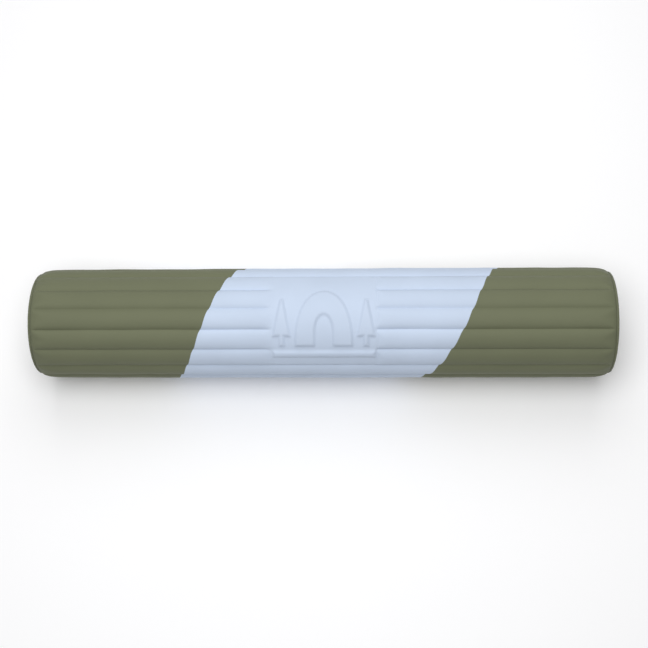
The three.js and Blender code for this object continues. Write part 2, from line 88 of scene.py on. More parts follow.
AXIS = (low("left_piping").z + high("left_piping").z) / 2
HALF_LENGTH = high("right_piping").x
CROWN = 48 * MM  # radius over the ribs
COVER_END = HALF_LENGTH - 1.9 * MM
SLOT_HALF_WIDTH = 4.2 * MM
SLOT_HALF_LENGTH = high("zip_top_stop").x + 0.3 * MM


# Small helpers


def make_active(piece):
    """Selects one object only, and makes it the active one."""
    bpy.ops.object.select_all(action="DESELECT")
    piece.select_set(True)
    bpy.context.view_layer.objects.active = piece


def apply_place(piece):
    make_active(piece)
    bpy.ops.object.transform_apply(location=True, rotation=True, scale=True)


def add(adder, name, **settings):
    """Adds a primitive with nothing else selected, names it and applies its place."""
    bpy.ops.object.select_all(action="DESELECT")
    adder(**settings)
    piece = bpy.context.active_object
    piece.name = piece.data.name = name
    apply_place(piece)
    return piece


@contextmanager
def editing(piece, kind="VERT"):
    """Edit mode, with everything selected at its start."""
    make_active(piece)
    bpy.ops.object.mode_set(mode="EDIT")
    bpy.ops.mesh.select_mode(type=kind)
    bpy.ops.mesh.select_all(action="SELECT")
    yield
    bpy.ops.object.mode_set(mode="OBJECT")


def pick(piece, kind, test):
    """In edit mode, selects only the vertices, edges or faces that pass the test."""
    bpy.ops.mesh.select_all(action="DESELECT")
    mesh = bmesh.from_edit_mesh(piece.data)
    for item in getattr(mesh, kind):
        if test(item):
            item.select_set(True)
    mesh.select_flush_mode()
    bmesh.update_edit_mesh(piece.data)


def modify(piece, kind, **settings):
    """Adds a modifier and applies it."""
    make_active(piece)
    modifier = piece.modifiers.new(kind.title(), kind)
    for name, value in settings.items():
        setattr(modifier, name, value)
    bpy.ops.object.modifier_apply(modifier=modifier.name)


def thicken(piece, thickness):
    modify(piece, "SOLIDIFY", thickness=thickness, offset=-1, use_rim=True)


def subdivide(piece):
    modify(piece, "SUBSURF", levels=1, render_levels=1)


def repeat_along(piece, count, pitch):
    """Copies a shape along the pillow, each copy as its own faces in the one mesh."""
    modify(
        piece,
        "ARRAY",
        count=count,
        use_relative_offset=False,
        use_constant_offset=True,
        constant_offset_displace=(pitch, 0, 0),
    )


def soften_edges(piece, width, angle=40, segments=2):
    modify(
        piece,
        "BEVEL",
        width=width,
        segments=segments,
        limit_method="ANGLE",
        angle_limit=math.radians(angle),
        miter_outer="MITER_ARC",
    )


def clean(piece):
    """Merges doubles and turns every face outwards."""
    with editing(piece):
        bpy.ops.mesh.remove_doubles(threshold=0.01 * MM)
        bpy.ops.mesh.dissolve_degenerate(threshold=0.01 * MM)
        bpy.ops.mesh.normals_make_consistent(inside=False)


def combine(piece, others, operation="UNION"):
    """Joins closed meshes into one closed mesh, or cuts the others out of it."""
    for other in others:
        modify(piece, "BOOLEAN", operation=operation, solver="EXACT", object=other)
        bpy.data.objects.remove(other)
    clean(piece)


def finish(piece, body, slot, material, *nodes, smooth=35):
    """Gives a finished piece its material, its body and the CAD nodes that it replaces.
    The slot argument is not used. Edges that turn by less than smooth degrees are shaded smooth."""
    make_active(piece)
    bpy.ops.object.shade_smooth_by_angle(angle=math.radians(smooth))
    piece.data.materials.clear()
    piece.data.materials.append(material)
    if body:
        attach(piece, body)
    if nodes:
        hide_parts(*nodes)


def get_points(piece):
    points = np.zeros(len(piece.data.vertices) * 3)
    piece.data.vertices.foreach_get("co", points)
    return points.reshape(-1, 3)


def set_points(piece, points):
    piece.data.vertices.foreach_set("co", np.ascontiguousarray(points, dtype=np.float32).ravel())
    piece.data.update()


def round_places(points):
    """How far each point is from the pillow's axis, and its turn from +Y towards +Z."""
    y, z = points[:, 1], points[:, 2] - AXIS
    return np.hypot(y, z), np.arctan2(z, y)


def scale_round(points, scale):
    """Moves points in towards the pillow's axis, or out from it."""
    points[:, 1] *= scale
    points[:, 2] = AXIS + (points[:, 2] - AXIS) * scale


def smoothstep(value, start, end):
    share = np.clip((value - start) / (end - start), 0, 1)
    return share * share * (3 - 2 * share)


def plateau(value, start, end, rise, fall):
    """1 from start to end, and 0 past the rise before it and the fall after it."""
    return smoothstep(value, start - rise, start) * (1 - smoothstep(value, end, end + fall))


def waves(seed, place, lengths, height):
    """A smooth, repeatable unevenness of up to about that height, from waves of those lengths."""
    draw = np.random.default_rng(seed)
    total = np.zeros_like(place)
    for length in lengths:
        total = total + np.sin(TURN * place / length + draw.uniform(0, TURN)) * draw.uniform(0.5, 1)
    return total * height / len(lengths)


def box(name, centre, size, turn=0):
    """A box from its centre and its three sizes, turned about X."""
    piece = add(bpy.ops.mesh.primitive_cube_add, name, size=1)
    piece.scale, piece.rotation_euler, piece.location = size, (turn, 0, 0), centre
    apply_place(piece)
    return piece


def slab(name, x_range, y_range, width):
    """A box that lies evenly across the pillow's axis, from its two ranges in millimetres."""
    (x0, x1), (y0, y1) = x_range, y_range
    centre = ((x0 + x1) / 2 * MM, (y0 + y1) / 2 * MM, AXIS)
    return box(name, centre, ((x1 - x0) * MM, (y1 - y0) * MM, width * MM))


def grip_bars(count, pitch, centre, size, along):
    """Small raised bars beside each other."""
    bars = []
    for i in range(count):
        place = Vector(centre)
        place[along] += (i - (count - 1) / 2) * pitch
        bars.append(box("bar", place, size))
    return bars


def cut_rows(piece, places, axis=0):
    """Adds a row of edges at each place along an axis."""
    normal = Vector((0, 0, 0))
    normal[axis] = 1
    for place in places:
        with editing(piece):
            bpy.ops.mesh.bisect(plane_co=normal * place, plane_no=normal)


def round_corners(piece, width, only=lambda x: True):
    """Rounds a flat part's corners: its edges that run through the thickness, along Y."""

    def is_corner(edge):
        start, end = (vert.co for vert in edge.verts)
        upright = abs((start - end).normalized().y) > 0.99
        folded = len(edge.link_faces) == 2 and edge.calc_face_angle(0) > 0.3
        return upright and folded and only(start.x)

    with editing(piece, "EDGE"):
        pick(piece, "edges", is_corner)
        bpy.ops.mesh.bevel(offset=width, segments=5, affect="EDGES")


def lathe(name, outline, sides=64, fill=True):
    """A ring about the pillow's axis is extruded through the outline's points, given as (x, radius)
    in millimetres. A radius of 0 closes the surface there."""
    (x, radius), *rest = [(x * MM, radius * MM) for x, radius in outline]
    piece = add(
        bpy.ops.mesh.primitive_circle_add,
        name,
        vertices=sides,
        radius=radius,
        location=(x, 0, AXIS),
        rotation=ALONG_X,
    )
    with editing(piece):
        for next_x, next_radius in rest:
            step = {"value": (next_x - x, 0, 0)}
            bpy.ops.mesh.extrude_region_move(TRANSFORM_OT_translate=step)
            if next_radius == 0:
                bpy.ops.mesh.merge(type="CENTER")
                break
            scale = next_radius / radius
            bpy.ops.transform.resize(value=(1, scale, scale), center_override=(next_x, 0, AXIS))
            x, radius = next_x, next_radius
        if fill:
            bpy.ops.mesh.select_all(action="SELECT")
            bpy.ops.mesh.remove_doubles(threshold=0.01 * MM)
            bpy.ops.mesh.fill_holes(sides=0)
    clean(piece)
    return piece


def fill_by_pressure(piece, held, frames, most, cut_shape=None, **settings):
    """Fills a sheet by pressure between the points that are held, and caps how far any point moves.
    cut_shape holds the points of a fuller shape that the cloth was cut to."""
    scene = bpy.context.scene
    start = get_points(piece)
    group = piece.vertex_groups.new(name="held")
    group.add([int(i) for i in np.nonzero(held)[0]], 1.0, "REPLACE")
    make_active(piece)
    cloth = piece.modifiers.new("Cloth", "CLOTH")
    if cut_shape is not None:
        piece.shape_key_add(name="sewn shape")
        full = piece.shape_key_add(name="cut shape")
        full.data.foreach_set("co", cut_shape.astype(np.float32).ravel())
        full.value = 0
        cloth.settings.rest_shape_key = full
    cloth.settings.quality = 5
    cloth.settings.mass = 0.25
    cloth.settings.use_pressure = True
    cloth.settings.vertex_group_mass = "held"
    cloth.settings.effector_weights.gravity = 0
    for name, value in settings.items():
        setattr(cloth.settings, name, value)
    cloth.point_cache.frame_start = 1
    cloth.point_cache.frame_end = frames
    for number in range(1, frames + 1):
        scene.frame_set(number)
    moved = get_points(piece.evaluated_get(bpy.context.evaluated_depsgraph_get()))
    piece.modifiers.remove(cloth)
    if cut_shape is not None:
        piece.shape_key_clear()
    piece.vertex_groups.clear()
    scene.frame_set(1)
    length = np.linalg.norm(moved - start, axis=1, keepdims=True)
    set_points(piece, start + (moved - start) * np.minimum(1, most / np.maximum(length, 1e-9)))


# Materials

WAVE_PITCH = TURN / 20  # of the wave texture at a scale of 1


def linear(colour):
    """An sRGB hex colour as linear red, green and blue."""
    values = [int(colour[i : i + 2], 16) / 255 for i in (1, 3, 5)]
    return [v / 12.92 if v <= 0.04045 else ((v + 0.055) / 1.055) ** 2.4 for v in values]


def add_node(tree, kind, values=None, links=None, **settings):
    """Adds a node, sets its settings and its sockets' values, and links outputs to its sockets."""
    node = tree.nodes.new(kind)
    for name, value in settings.items():
        setattr(node, name, value)
    for name, value in (values or {}).items():
        node.inputs[name].default_value = value
    for name, output in (links or {}).items():
        tree.links.new(output, node.inputs[name])
    return node


def start_material(name):
    """A new material, the function that adds nodes to it, and the place on the object."""
    made = bpy.data.materials.new(name)
    made.use_nodes = True
    made.node_tree.nodes.clear()
    node = partial(add_node, made.node_tree)
    return made, node, node("ShaderNodeTexCoord").outputs["Object"]


def end_material(node, colour, shader, roughness=None, bump=None):
    """Puts the shader together. bump is (height output, depth in metres, strength)."""
    links = {"Base Color": colour}
    if roughness is not None:
        links["Roughness"] = roughness
    if bump is not None:
        height, depth, strength = bump
        values = {"Strength": strength, "Distance": depth}
        links["Normal"] = node("ShaderNodeBump", values, {"Height": height}).outputs["Normal"]
    surface = node("ShaderNodeBsdfPrincipled", shader, links)
    node("ShaderNodeOutputMaterial", links={"Surface": surface.outputs["BSDF"]})


def shaded(node, colour, pattern, shades, pattern_range=(0, 1)):
    """The colour times the first shade where the pattern is low, the second where it is high."""
    values = dict(zip(("From Min", "From Max", "To Min", "To Max"), (*pattern_range, *shades)))
    factor = node("ShaderNodeMapRange", values, {"Value": pattern}).outputs["Result"]
    values, links = {}, {1: factor}
    if isinstance(colour, bpy.types.NodeSocket):
        links[0] = colour
    else:
        values[0] = tuple(colour)
    return node("ShaderNodeVectorMath", values, links, operation="MULTIPLY").outputs["Vector"]


def mottled(node, place, colour, size, contrast):
    """The colour, slightly lighter and darker in soft patches of that size."""
    values = {"Scale": 1 / size, "Detail": 3.0, "Roughness": 0.5}
    patches = node("ShaderNodeTexNoise", values, {"Vector": place}).outputs["Fac"]
    return shaded(node, colour, patches, (1 - contrast, 1 + contrast), (0.3, 0.7))


def soft_touch_knit(name, colour, uses_surface=True):
    """Brushed polyester knit, hot-pressed on to foam: matt, with a faint pile at grazing angles.
    Its stitches are about 0.35 mm, too fine to show, so they are drawn at 0.57 mm."""
    made, node, place = start_material(name)
    tint = mottled(node, place, colour, 45 * MM, 0.025)
    surface = place
    if uses_surface:
        surface = node("ShaderNodeUVMap", uv_map="surface").outputs["UV"]
    rows = node(
        "ShaderNodeTexWave",
        {"Scale": WAVE_PITCH / (0.573 * MM), "Distortion": 0.6, "Detail": 1.0},
        {"Vector": surface},
        bands_direction="Y",
    )
    values = {"Scale": 1 / (0.8 * MM), "Detail": 2.0}
    pile = node("ShaderNodeTexNoise", values, {"Vector": place}).outputs["Fac"]
    height = node("ShaderNodeMath", links={0: rows.outputs["Fac"], 1: pile}, operation="ADD")
    rough = node("ShaderNodeMapRange", {"To Min": 0.7, "To Max": 0.86}, {"Value": pile})
    end_material(
        node,
        tint,
        {"Specular IOR Level": 0.3, "Sheen Weight": 0.06, "Sheen Roughness": 0.5},
        roughness=rough.outputs["Result"],
        bump=(height.outputs["Value"], 0.03 * MM, 0.25),
    )
    return made


def woven_binding(name, colour, pitch):
    """Plain-woven polyester tape: fine square grain, low gloss, and painted shade in the gaps
    between its threads.
    """
    made, node, place = start_material(name)
    tint = mottled(node, place, colour, 12 * MM, 0.06)
    threads = [
        node(
            "ShaderNodeTexWave",
            {"Scale": WAVE_PITCH / pitch, "Distortion": 0.4},
            {"Vector": place},
            bands_direction=direction,
        ).outputs["Fac"]
        for direction in ("X", "Z")
    ]
    weave = node("ShaderNodeMath", links=dict(enumerate(threads)), operation="MULTIPLY")
    height = weave.outputs["Value"]
    end_material(
        node,
        # painted shade: the colour is darker where the weave is low, in the gaps between the
        # threads
        shaded(node, tint, height, (0.86, 1.06)),
        {
            "Roughness": 0.78,
            "Specular IOR Level": 0.35,
            "Sheen Weight": 0.08,
            "Sheen Roughness": 0.5,
        },
        bump=(height, 0.12 * MM, 0.6),
    )
    return made


def moulded_plastic(name, colour, roughness, grain=0.5 * MM, depth=0.02 * MM, **shader):
    """Injection-moulded polymer: a fine eroded grain, slightly shinier where it is handled."""
    made, node, place = start_material(name)
    tint = mottled(node, place, colour, 9 * MM, 0.04)
    grains = node("ShaderNodeTexNoise", {"Scale": 1 / grain, "Detail": 3.0}, {"Vector": place})
    wear = node("ShaderNodeTexNoise", {"Scale": 1 / (6 * MM), "Detail": 2.0}, {"Vector": place})
    rough = node(
        "ShaderNodeMapRange",
        {"From Min": 0.3, "From Max": 0.7, "To Min": roughness - 0.07, "To Max": roughness + 0.07},
        {"Value": wear.outputs["Fac"]},
    )
    end_material(
        node,
        tint,
        {"IOR": 1.5, **shader},
        roughness=rough.outputs["Result"],
        bump=(grains.outputs["Fac"], depth, 0.5),
    )
    return made


def open_cell_foam(name, colour):
    """Polyurethane cushion foam: cells of about 0.8 mm, dry and very matt, with painted shade in
    the cells' hollows.
    """
    made, node, place = start_material(name)
    tint = mottled(node, place, colour, 20 * MM, 0.05)
    cells = node("ShaderNodeTexVoronoi", {"Scale": 1 / (0.8 * MM)}, {"Vector": place})
    height = cells.outputs["Distance"]
    end_material(
        node,
        # painted shade: the colour is darker where the foam's surface is low, in the cells' hollows
        shaded(node, tint, height, (0.7, 1.08)),
        {"Roughness": 0.95, "Specular IOR Level": 0.15},
        bump=(height, 0.3 * MM, 0.8),
    )
    return made


def painted_zinc(name, colour):
    """Die-cast zinc with baked paint: satin, with a slight orange peel and rubbed high spots."""
    made, node, place = start_material(name)
    tint = mottled(node, place, colour, 3 * MM, 0.08)
    values = {"Scale": 1 / (0.7 * MM), "Detail": 1.0}
    peel = node("ShaderNodeTexNoise", values, {"Vector": place}).outputs["Fac"]
    rough = node("ShaderNodeMapRange", {"To Min": 0.28, "To Max": 0.48}, {"Value": peel})
    end_material(
        node,
        tint,
        {"Metallic": 0.55},
        roughness=rough.outputs["Result"],
        bump=(peel, 0.02 * MM, 0.5),
    )
    return made


def twisted_thread(name, colour):
    """Bonded polyester thread: satin, with its twist as fine slanted bands 0.3 mm apart."""
    made, node, place = start_material(name)
    tint = mottled(node, place, colour, 5 * MM, 0.05)
    twist = node(
        "ShaderNodeTexWave",
        {"Scale": WAVE_PITCH / (0.2547 * MM), "Distortion": 0.5},
        {"Vector": place},
        bands_direction="DIAGONAL",
    )
    end_material(
        node,
        tint,
        {"Roughness": 0.55, "Specular IOR Level": 0.4, "Sheen Weight": 0.1, "Sheen Roughness": 0.4},
        bump=(twist.outputs["Fac"], 0.08 * MM, 0.6),
    )
    return made


# Cover


class CoverSettings(bpy.types.PropertyGroup):
    rib_count: IntProperty(
        name="Ribs", description="Lengthwise ribs round the pillow", default=16, min=6
    )
    rib_segments: IntProperty(
        name="Segments per rib", description="Mesh columns across one rib", default=10
    )
    crease_depth: Length(
        name="Crease depth", description="From the crowns down to the creases", default=2.4 * MM
    )
    end_pinch_length: Length(
        name="End pinch length",
        description="Over which a rib closes down on the end seam",
        default=15 * MM,
    )
    end_pinch_depth: Length(
        name="End pinch depth",
        description="How far a crown drops at the end seam",
        default=5.0 * MM,
    )
    wall: Length(name="Wall", description="The cover's thickness", default=1.0 * MM)
    pressure: FloatProperty(
        name="Pressure", description="How hard the ribs are filled", default=4.0
    )
    frames: IntProperty(name="Frames", description="Length of the cloth simulation", default=20)
    band_left: Length(
        name="Band's left edge",
        description="Along the pillow, at the middle of the emblem",
        default=-98 * MM,
    )
    band_right: Length(
        name="Band's right edge",
        description="Along the pillow, at the middle of the emblem",
        default=125 * MM,
    )
    left_lead: FloatVectorProperty(
        name="Left edge's slant",
        description="How far it moves left in a whole turn, behind and in front of the emblem",
        size=2,
        default=(133 * MM, 111 * MM),
        unit="LENGTH",
    )
    right_lead: FloatVectorProperty(
        name="Right edge's slant",
        description="How far it moves left in a whole turn, behind and in front of the emblem",
        size=2,
        default=(118 * MM, 163 * MM),
        unit="LENGTH",
    )
    emblem_centre: Length(name="Emblem's middle", description="Along the pillow", default=3 * MM)
    emblem_length: Length(name="Emblem's length", description="Along the pillow", default=88 * MM)
    emblem_relief: Length(
        name="Emblem's relief", description="How far its shapes stand proud", default=1.7 * MM
    )
    olive: Colour(name="Olive", description="Both ends", default=linear("#696d55"))
    blue: Colour(name="Light blue", description="The slanted band", default=linear("#becbde"))
    piping: Colour(name="Piping", description="Round both ends", default=linear("#6a6e56"))


RIB_FULLNESS = 0.62  # below 1 a rib is flatter on top and turns in faster at its creases
HEM_SHARE = 0.15  # of a rib's width, pressed flat and sewn beside the zip
SEAM_GAP = 0.12 * MM  # between the rear seam's two lips
MOST_SWELL = 1.4 * MM  # that the pressure may move a point
BEND_ROUNDING = 0.3  # radians over which the slant of an edge of the band changes
RIB_STEP = 0.6 * MM  # by which an edge of the band steps at each crease

EMBLEM_CREASES = (-2, 3)  # counted round from the top, towards the front
EMBLEM_MIDDLE = math.radians(11.25)
EMBLEM_RECESS = 1.3 * MM  # below the crowns
EMBLEM_FADE = 16 * MM  # over which the ribs fade out, left of it
EMBLEM_RIB_START = 8 * MM  # over which a rib rises again, right of it
EMBLEM_EDGE = math.radians(2.2)  # over which its face turns up at the front and the back

# The sheet's rows: close together at both ends, where the ribs close, and round the emblem
END_ROWS = (0, 0.5, 1.1, 1.9, 2.9, 4.1, 5.5, 7.1, 8.9, 10.9, 13.1, 15.5, 18)
LEFT_ROWS, SIDE_ROWS, EMBLEM_ROWS, RIGHT_ROWS = 44, 20, 100, 44
LEFT_EDGE_ROW = len(END_ROWS) - 1 + LEFT_ROWS
RIGHT_EDGE_ROW = LEFT_EDGE_ROW + SIDE_ROWS * 2 + EMBLEM_ROWS
FINE_REACH = math.radians(66)  # of the fine rows, round from the emblem's middle
FINE_FADE = math.radians(45)
FINE_MARGIN = 7 * MM  # of the fine rows past the emblem's ends
COARSE_SHARE = 0.24  # of the band's width beside the middle rows, away from the emblem


def rib_arc(share, crown, depth, count):
    """How far a rib stands above its creases, as a share of its height, from crease to crease."""
    half = math.pi / count
    crease = crown - depth
    centre = (crown**2 - crease**2) / (2 * (crown - crease * math.cos(half)))
    radius = crown - centre
    angle = (share - 0.5) * 2 * half
    reach = centre * np.cos(angle) + np.sqrt(radius**2 - (centre * np.sin(angle)) ** 2)
    return (reach - crease) / depth


def band_edge(settings, start, lead, angle):
    """Where an edge of the band lies. It steps slightly left at every crease."""
    ribs = angle / TURN * settings.rib_count
    across = 2 * (ribs - np.floor(ribs)) - 1
    saw = across * (1 - np.abs(across) ** 6) * 1.3
    behind, before = lead
    turn = angle - EMBLEM_MIDDLE
    bend = np.sqrt(turn**2 + BEND_ROUNDING**2) - BEND_ROUNDING
    slant = ((behind + before) * turn + (before - behind) * bend) / 2 / TURN
    return start - slant + RIB_STEP * saw


def column_places(settings):
    """For each mesh column: its angle, its rib, and its share of the way across the rib."""
    columns = settings.rib_count * settings.rib_segments
    index = np.arange(columns + 1)
    rib = np.minimum(index // settings.rib_segments, settings.rib_count - 1)
    share = index / settings.rib_segments - rib
    angle = -TURN / 4 + index / columns * TURN
    return angle, rib, share


def row_places(settings, angle):
    """The rows' places along the pillow at an angle, from left to right."""
    left = band_edge(settings, settings.band_left, settings.left_lead, angle)
    right = band_edge(settings, settings.band_right, settings.right_lead, angle)
    ends = np.array(END_ROWS) * MM
    near_left, near_right = ends - COVER_END, COVER_END - ends[::-1]
    first, last = EMBLEM_MIDDLE - FINE_REACH, EMBLEM_MIDDLE + FINE_REACH
    fine = plateau(angle, first, last, FINE_FADE, FINE_FADE)
    aside = COARSE_SHARE * (right - left)
    half = settings.emblem_length / 2 + FINE_MARGIN
    fine_left = (left + aside) * (1 - fine) + (settings.emblem_centre - half) * fine
    fine_right = (right - aside) * (1 - fine) + (settings.emblem_centre + half) * fine
    stops = (near_left[-1], left, fine_left, fine_right, right, near_right[0])
    counts = (LEFT_ROWS, SIDE_ROWS, EMBLEM_ROWS, SIDE_ROWS, RIGHT_ROWS)
    between = [
        np.linspace(start, end, count + 1)[1:]
        for start, end, count in zip(stops, stops[1:], counts)
    ]
    return np.concatenate([near_left, *between, near_right[1:]])


def emblem_mask(settings, angle, x):
    """1 on the emblem's smooth face, 0 on the ribs. It fades at the left and ends sharply."""
    first, last = (crease * TURN / settings.rib_count for crease in EMBLEM_CREASES)
    around = plateau(angle, first + EMBLEM_EDGE, last - EMBLEM_EDGE, EMBLEM_EDGE, EMBLEM_EDGE)
    half = settings.emblem_length / 2
    start, end = settings.emblem_centre - half, settings.emblem_centre + half
    along = plateau(x, start + EMBLEM_FADE / 4, end - 0.5 * MM, EMBLEM_FADE * 0.75, 1 * MM)
    return around * along


def cover_surface(settings, angle, rib, share, x, pinched=1.0):
    """The cover's outer face: the angle and radius of each point on it."""
    depth, count = settings.crease_depth, settings.rib_count
    share, rib_angle = share[:, None], TURN / count
    is_first, is_last = rib[:, None] == 0, rib[:, None] == count - 1
    # Each crease drifts a little sideways and sinks unevenly, and each rib is fuller in places
    drift = []
    for crease in range(count + 1):
        pinned = 0 if crease in (0, count) else 1
        aside = waves(100 + crease, x, (0.07, 0.11, 0.19), math.radians(0.3)) * pinned
        drift.append((aside, waves(200 + crease, x, (0.05, 0.09, 0.16), 0.14 * MM)))
    drift = np.array(drift)  # crease, kind, column, row
    columns = np.arange(len(rib))
    near, far = drift[rib, :, columns], drift[rib + 1, :, columns]
    turn = near[:, 0] * (1 - share) + far[:, 0] * share
    sink = near[:, 1] * (1 - share) + far[:, 1] * share
    swell = [waves(300 + r, x[i], (0.04, 0.075, 0.13), 0.12) for i, r in enumerate(rib)]
    # The ribs start beside the hems that the zip is sewn to
    hem = 1 - smoothstep(np.abs(x), SLOT_HALF_LENGTH + 3 * MM, SLOT_HALF_LENGTH + 12 * MM)
    hem_first, hem_last = HEM_SHARE * hem * is_first, HEM_SHARE * hem * is_last
    across = np.clip((share - hem_first) / (1 - hem_first - hem_last), 0, 1)
    arc = rib_arc(across, CROWN, depth, count)
    radius = CROWN - depth + sink + depth * arc**RIB_FULLNESS * (1 + np.stack(swell))
    # The emblem's smooth face
    mask = emblem_mask(settings, angle[:, None], x)
    radius = radius * (1 - mask) + (CROWN - EMBLEM_RECESS) * mask
    # The ribs rise again right of the emblem, rounded as at the ends
    end = settings.emblem_centre + settings.emblem_length / 2
    first, last = (crease * rib_angle for crease in EMBLEM_CREASES)
    beside = (angle[:, None] > first - 0.001) & (angle[:, None] < last + 0.001)
    past = np.clip((x - end) / EMBLEM_RIB_START, 0, 1)
    rise = CROWN - depth * 1.15 * (1 - np.sqrt(1 - (1 - past) ** 2))
    radius = np.where(beside & (x > end), np.minimum(radius, rise), radius)
    # Both ends close down on the piping, a crown from further away than a crease
    length = settings.end_pinch_length * (0.2 + 0.8 * (1 - np.abs(2 * across - 1)))
    from_end = np.clip(1 - (COVER_END - np.abs(x)) / length, 0, 1)
    ease = (1 - np.sqrt(1 - from_end**1.5 * 0.999)) * pinched
    radius = radius + (CROWN - settings.end_pinch_depth - radius) * ease
    # The rear seam opens for the zip
    slot = 1 - smoothstep(np.abs(x), SLOT_HALF_LENGTH, SLOT_HALF_LENGTH + 4 * MM)
    slot = (SLOT_HALF_WIDTH * slot + SEAM_GAP) / radius
    opened = slot * (np.where(is_first, 1 - share, 0) - np.where(is_last, share, 0))
    return angle[:, None] + turn + opened, radius


def from_round(angle, radius, x):
    """Points from their angle from the top towards the front, their radius and their place."""
    return np.stack([x, -radius * np.sin(angle), AXIS + radius * np.cos(angle)], axis=-1)


def inside_distance(x, y, corners):
    """How far inside a closed outline a point is, negative outside it."""
    nearest = np.full(x.shape, np.inf)
    inside = np.zeros(x.shape, bool)
    for (ax, ay), (bx, by) in zip(corners, corners[1:] + corners[:1]):
        dx, dy = bx - ax, by - ay
        along = np.clip(((x - ax) * dx + (y - ay) * dy) / (dx * dx + dy * dy), 0, 1)
        nearest = np.minimum(nearest, np.hypot(x - ax - along * dx, y - ay - along * dy))
        crosses = (ay > y) != (by > y)
        inside ^= crosses & (x < ax + (y - ay) * dx / np.where(by == ay, 1e-12, by - ay))
    return np.where(inside, nearest, -nearest)


def arch(half, base, spring, top):
    """A closed outline with upright sides and a round top."""
    turns = np.linspace(0, math.pi, 21)
    over = [(half * math.cos(t), spring + (top - spring) * math.sin(t)) for t in turns]
    return [(half, base), *over, (-half, base)]


# The emblem: a plain tent between two trees, in millimetres from its middle
TENT = arch(24, -24, -19, 25)
TENT_DOOR = arch(8, -26, -12, 4)
TREE_TOP = [(-43, -15), (-28.5, -15), (-34.9, 17), (-36.6, 17)]
TREE_TRUNK = [(-37.7, -24), (-33.8, -24), (-33.8, -12), (-37.7, -12)]
GROUND = [(-43, -35), (43, -35), (43, -29.5), (-43, -29.5)]
EMBLEM_REACH = 50
SOFT_EDGE = 1.8  # over which a shape rises


def emblem_height(x, y):
    """How far the emblem's shapes stand proud, as a share of their full height."""

    def raised(corners):
        return smoothstep(inside_distance(x, y, corners), -SOFT_EDGE, SOFT_EDGE)

    shapes = [raised(GROUND), raised(TENT) * (1 - raised(TENT_DOOR))]
    for corners in (TREE_TOP, TREE_TRUNK):
        shapes += [raised(corners), raised([(-cx, cy) for cx, cy in corners])]
    return np.max(shapes, axis=0)


def press_emblem(sheet, settings):
    points = get_points(sheet)
    radius, turned = round_places(points)
    x = (points[:, 0] - settings.emblem_centre) / MM
    y = -(turned - TURN / 4 - EMBLEM_MIDDLE) * CROWN / MM
    near = (np.abs(x) < EMBLEM_REACH) & (np.abs(y) < EMBLEM_REACH)
    rise = np.zeros_like(x)
    rise[near] = emblem_height(x[near], y[near]) * settings.emblem_relief
    scale_round(points, (radius + rise) / radius)
    set_points(sheet, points)


def keep_in_bounds(sheet, most):
    """Caps how far a point stands from the axis, and presses flat what would be in the ground."""
    points = get_points(sheet)
    radius, _ = round_places(points)
    scale_round(points, np.minimum(1, most / np.maximum(radius, 1e-9)))
    points[:, 2] = np.maximum(points[:, 2], 0)
    set_points(sheet, points)


def make_cover_sheet(settings):
    """One slit tube of cloth, whose rows follow the slanted edges of the band. Each face's panel is
    in the attribute "zone", from 0 at the left to 2 at the right."""
    angle, rib, share = column_places(settings)
    x = np.stack([row_places(settings, a) for a in angle])
    columns, rows = x.shape
    sheet = add(
        bpy.ops.mesh.primitive_grid_add,
        "cover_sheet",
        x_subdivisions=rows - 1,
        y_subdivisions=columns - 1,
        size=1,
    )
    grid = get_points(sheet)
    row = np.rint((grid[:, 0] + 0.5) * (rows - 1)).astype(int)
    column = columns - 1 - np.rint((grid[:, 1] + 0.5) * (columns - 1)).astype(int)
    surface = partial(cover_surface, settings, angle, rib, share, x)
    set_points(sheet, from_round(*surface(), x)[column, row])
    # The surface in metres, for the knit
    corner = np.zeros(len(sheet.data.loops), int)
    sheet.data.loops.foreach_get("vertex_index", corner)
    flat = np.stack([x[column, row], angle[column] * CROWN], axis=-1)
    layer = sheet.data.uv_layers[0]
    layer.name = "surface"
    layer.data.foreach_set("uv", flat[corner].astype(np.float32).ravel())
    # Creases stay sharp where there are ribs
    edges = np.zeros(len(sheet.data.edges) * 2, int)
    sheet.data.edges.foreach_get("vertices", edges)
    start, end = edges.reshape(-1, 2).T
    mask = emblem_mask(settings, angle[:, None], x)[column, row]
    on_crease = column % settings.rib_segments == 0
    along = on_crease[start] & (column[start] == column[end])
    sharp = np.where(along, 1 - np.maximum(mask[start], mask[end]), 0)
    creases = sheet.data.attributes.new("crease_edge", "FLOAT", "EDGE")
    creases.data.foreach_set("value", sharp.astype(np.float32))
    # Pressure fills the ribs, while their creases, the seams and the emblem hold still
    held = on_crease & (mask < 0.5) | (mask > 0.2)
    held |= (row < 2) | (row >= rows - 2) | (column < 2) | (column >= columns - 2)
    fill_by_pressure(
        sheet,
        held,
        settings.frames,
        MOST_SWELL,
        cut_shape=from_round(*surface(pinched=0.45), x)[column, row],
        uniform_pressure_force=settings.pressure,
        tension_stiffness=25,
        compression_stiffness=25,
        shear_stiffness=8,
        bending_stiffness=0.6,
        air_damping=2,
    )
    first = np.zeros(len(sheet.data.polygons), int)
    sheet.data.polygons.foreach_get("loop_start", first)
    lowest = np.min([row[corner[first + i]] for i in range(4)], axis=0)
    zone = (lowest >= LEFT_EDGE_ROW).astype(np.int32) + (lowest >= RIGHT_EDGE_ROW)
    marks = sheet.data.attributes.new("zone", "INT", "FACE")
    marks.data.foreach_set("value", zone.astype(np.int32))
    return sheet


def cut_panel(sheet, name, zone):
    """A copy of the sheet with only one panel's faces."""
    make_active(sheet)
    bpy.ops.object.duplicate()
    panel = bpy.context.active_object
    panel.name = panel.data.name = name
    marks = np.zeros(len(panel.data.polygons), np.int32)
    panel.data.attributes["zone"].data.foreach_get("value", marks)
    with editing(panel, "FACE"):
        pick(panel, "faces", lambda face: marks[face.index] != zone)
        bpy.ops.mesh.delete(type="FACE")
    return panel


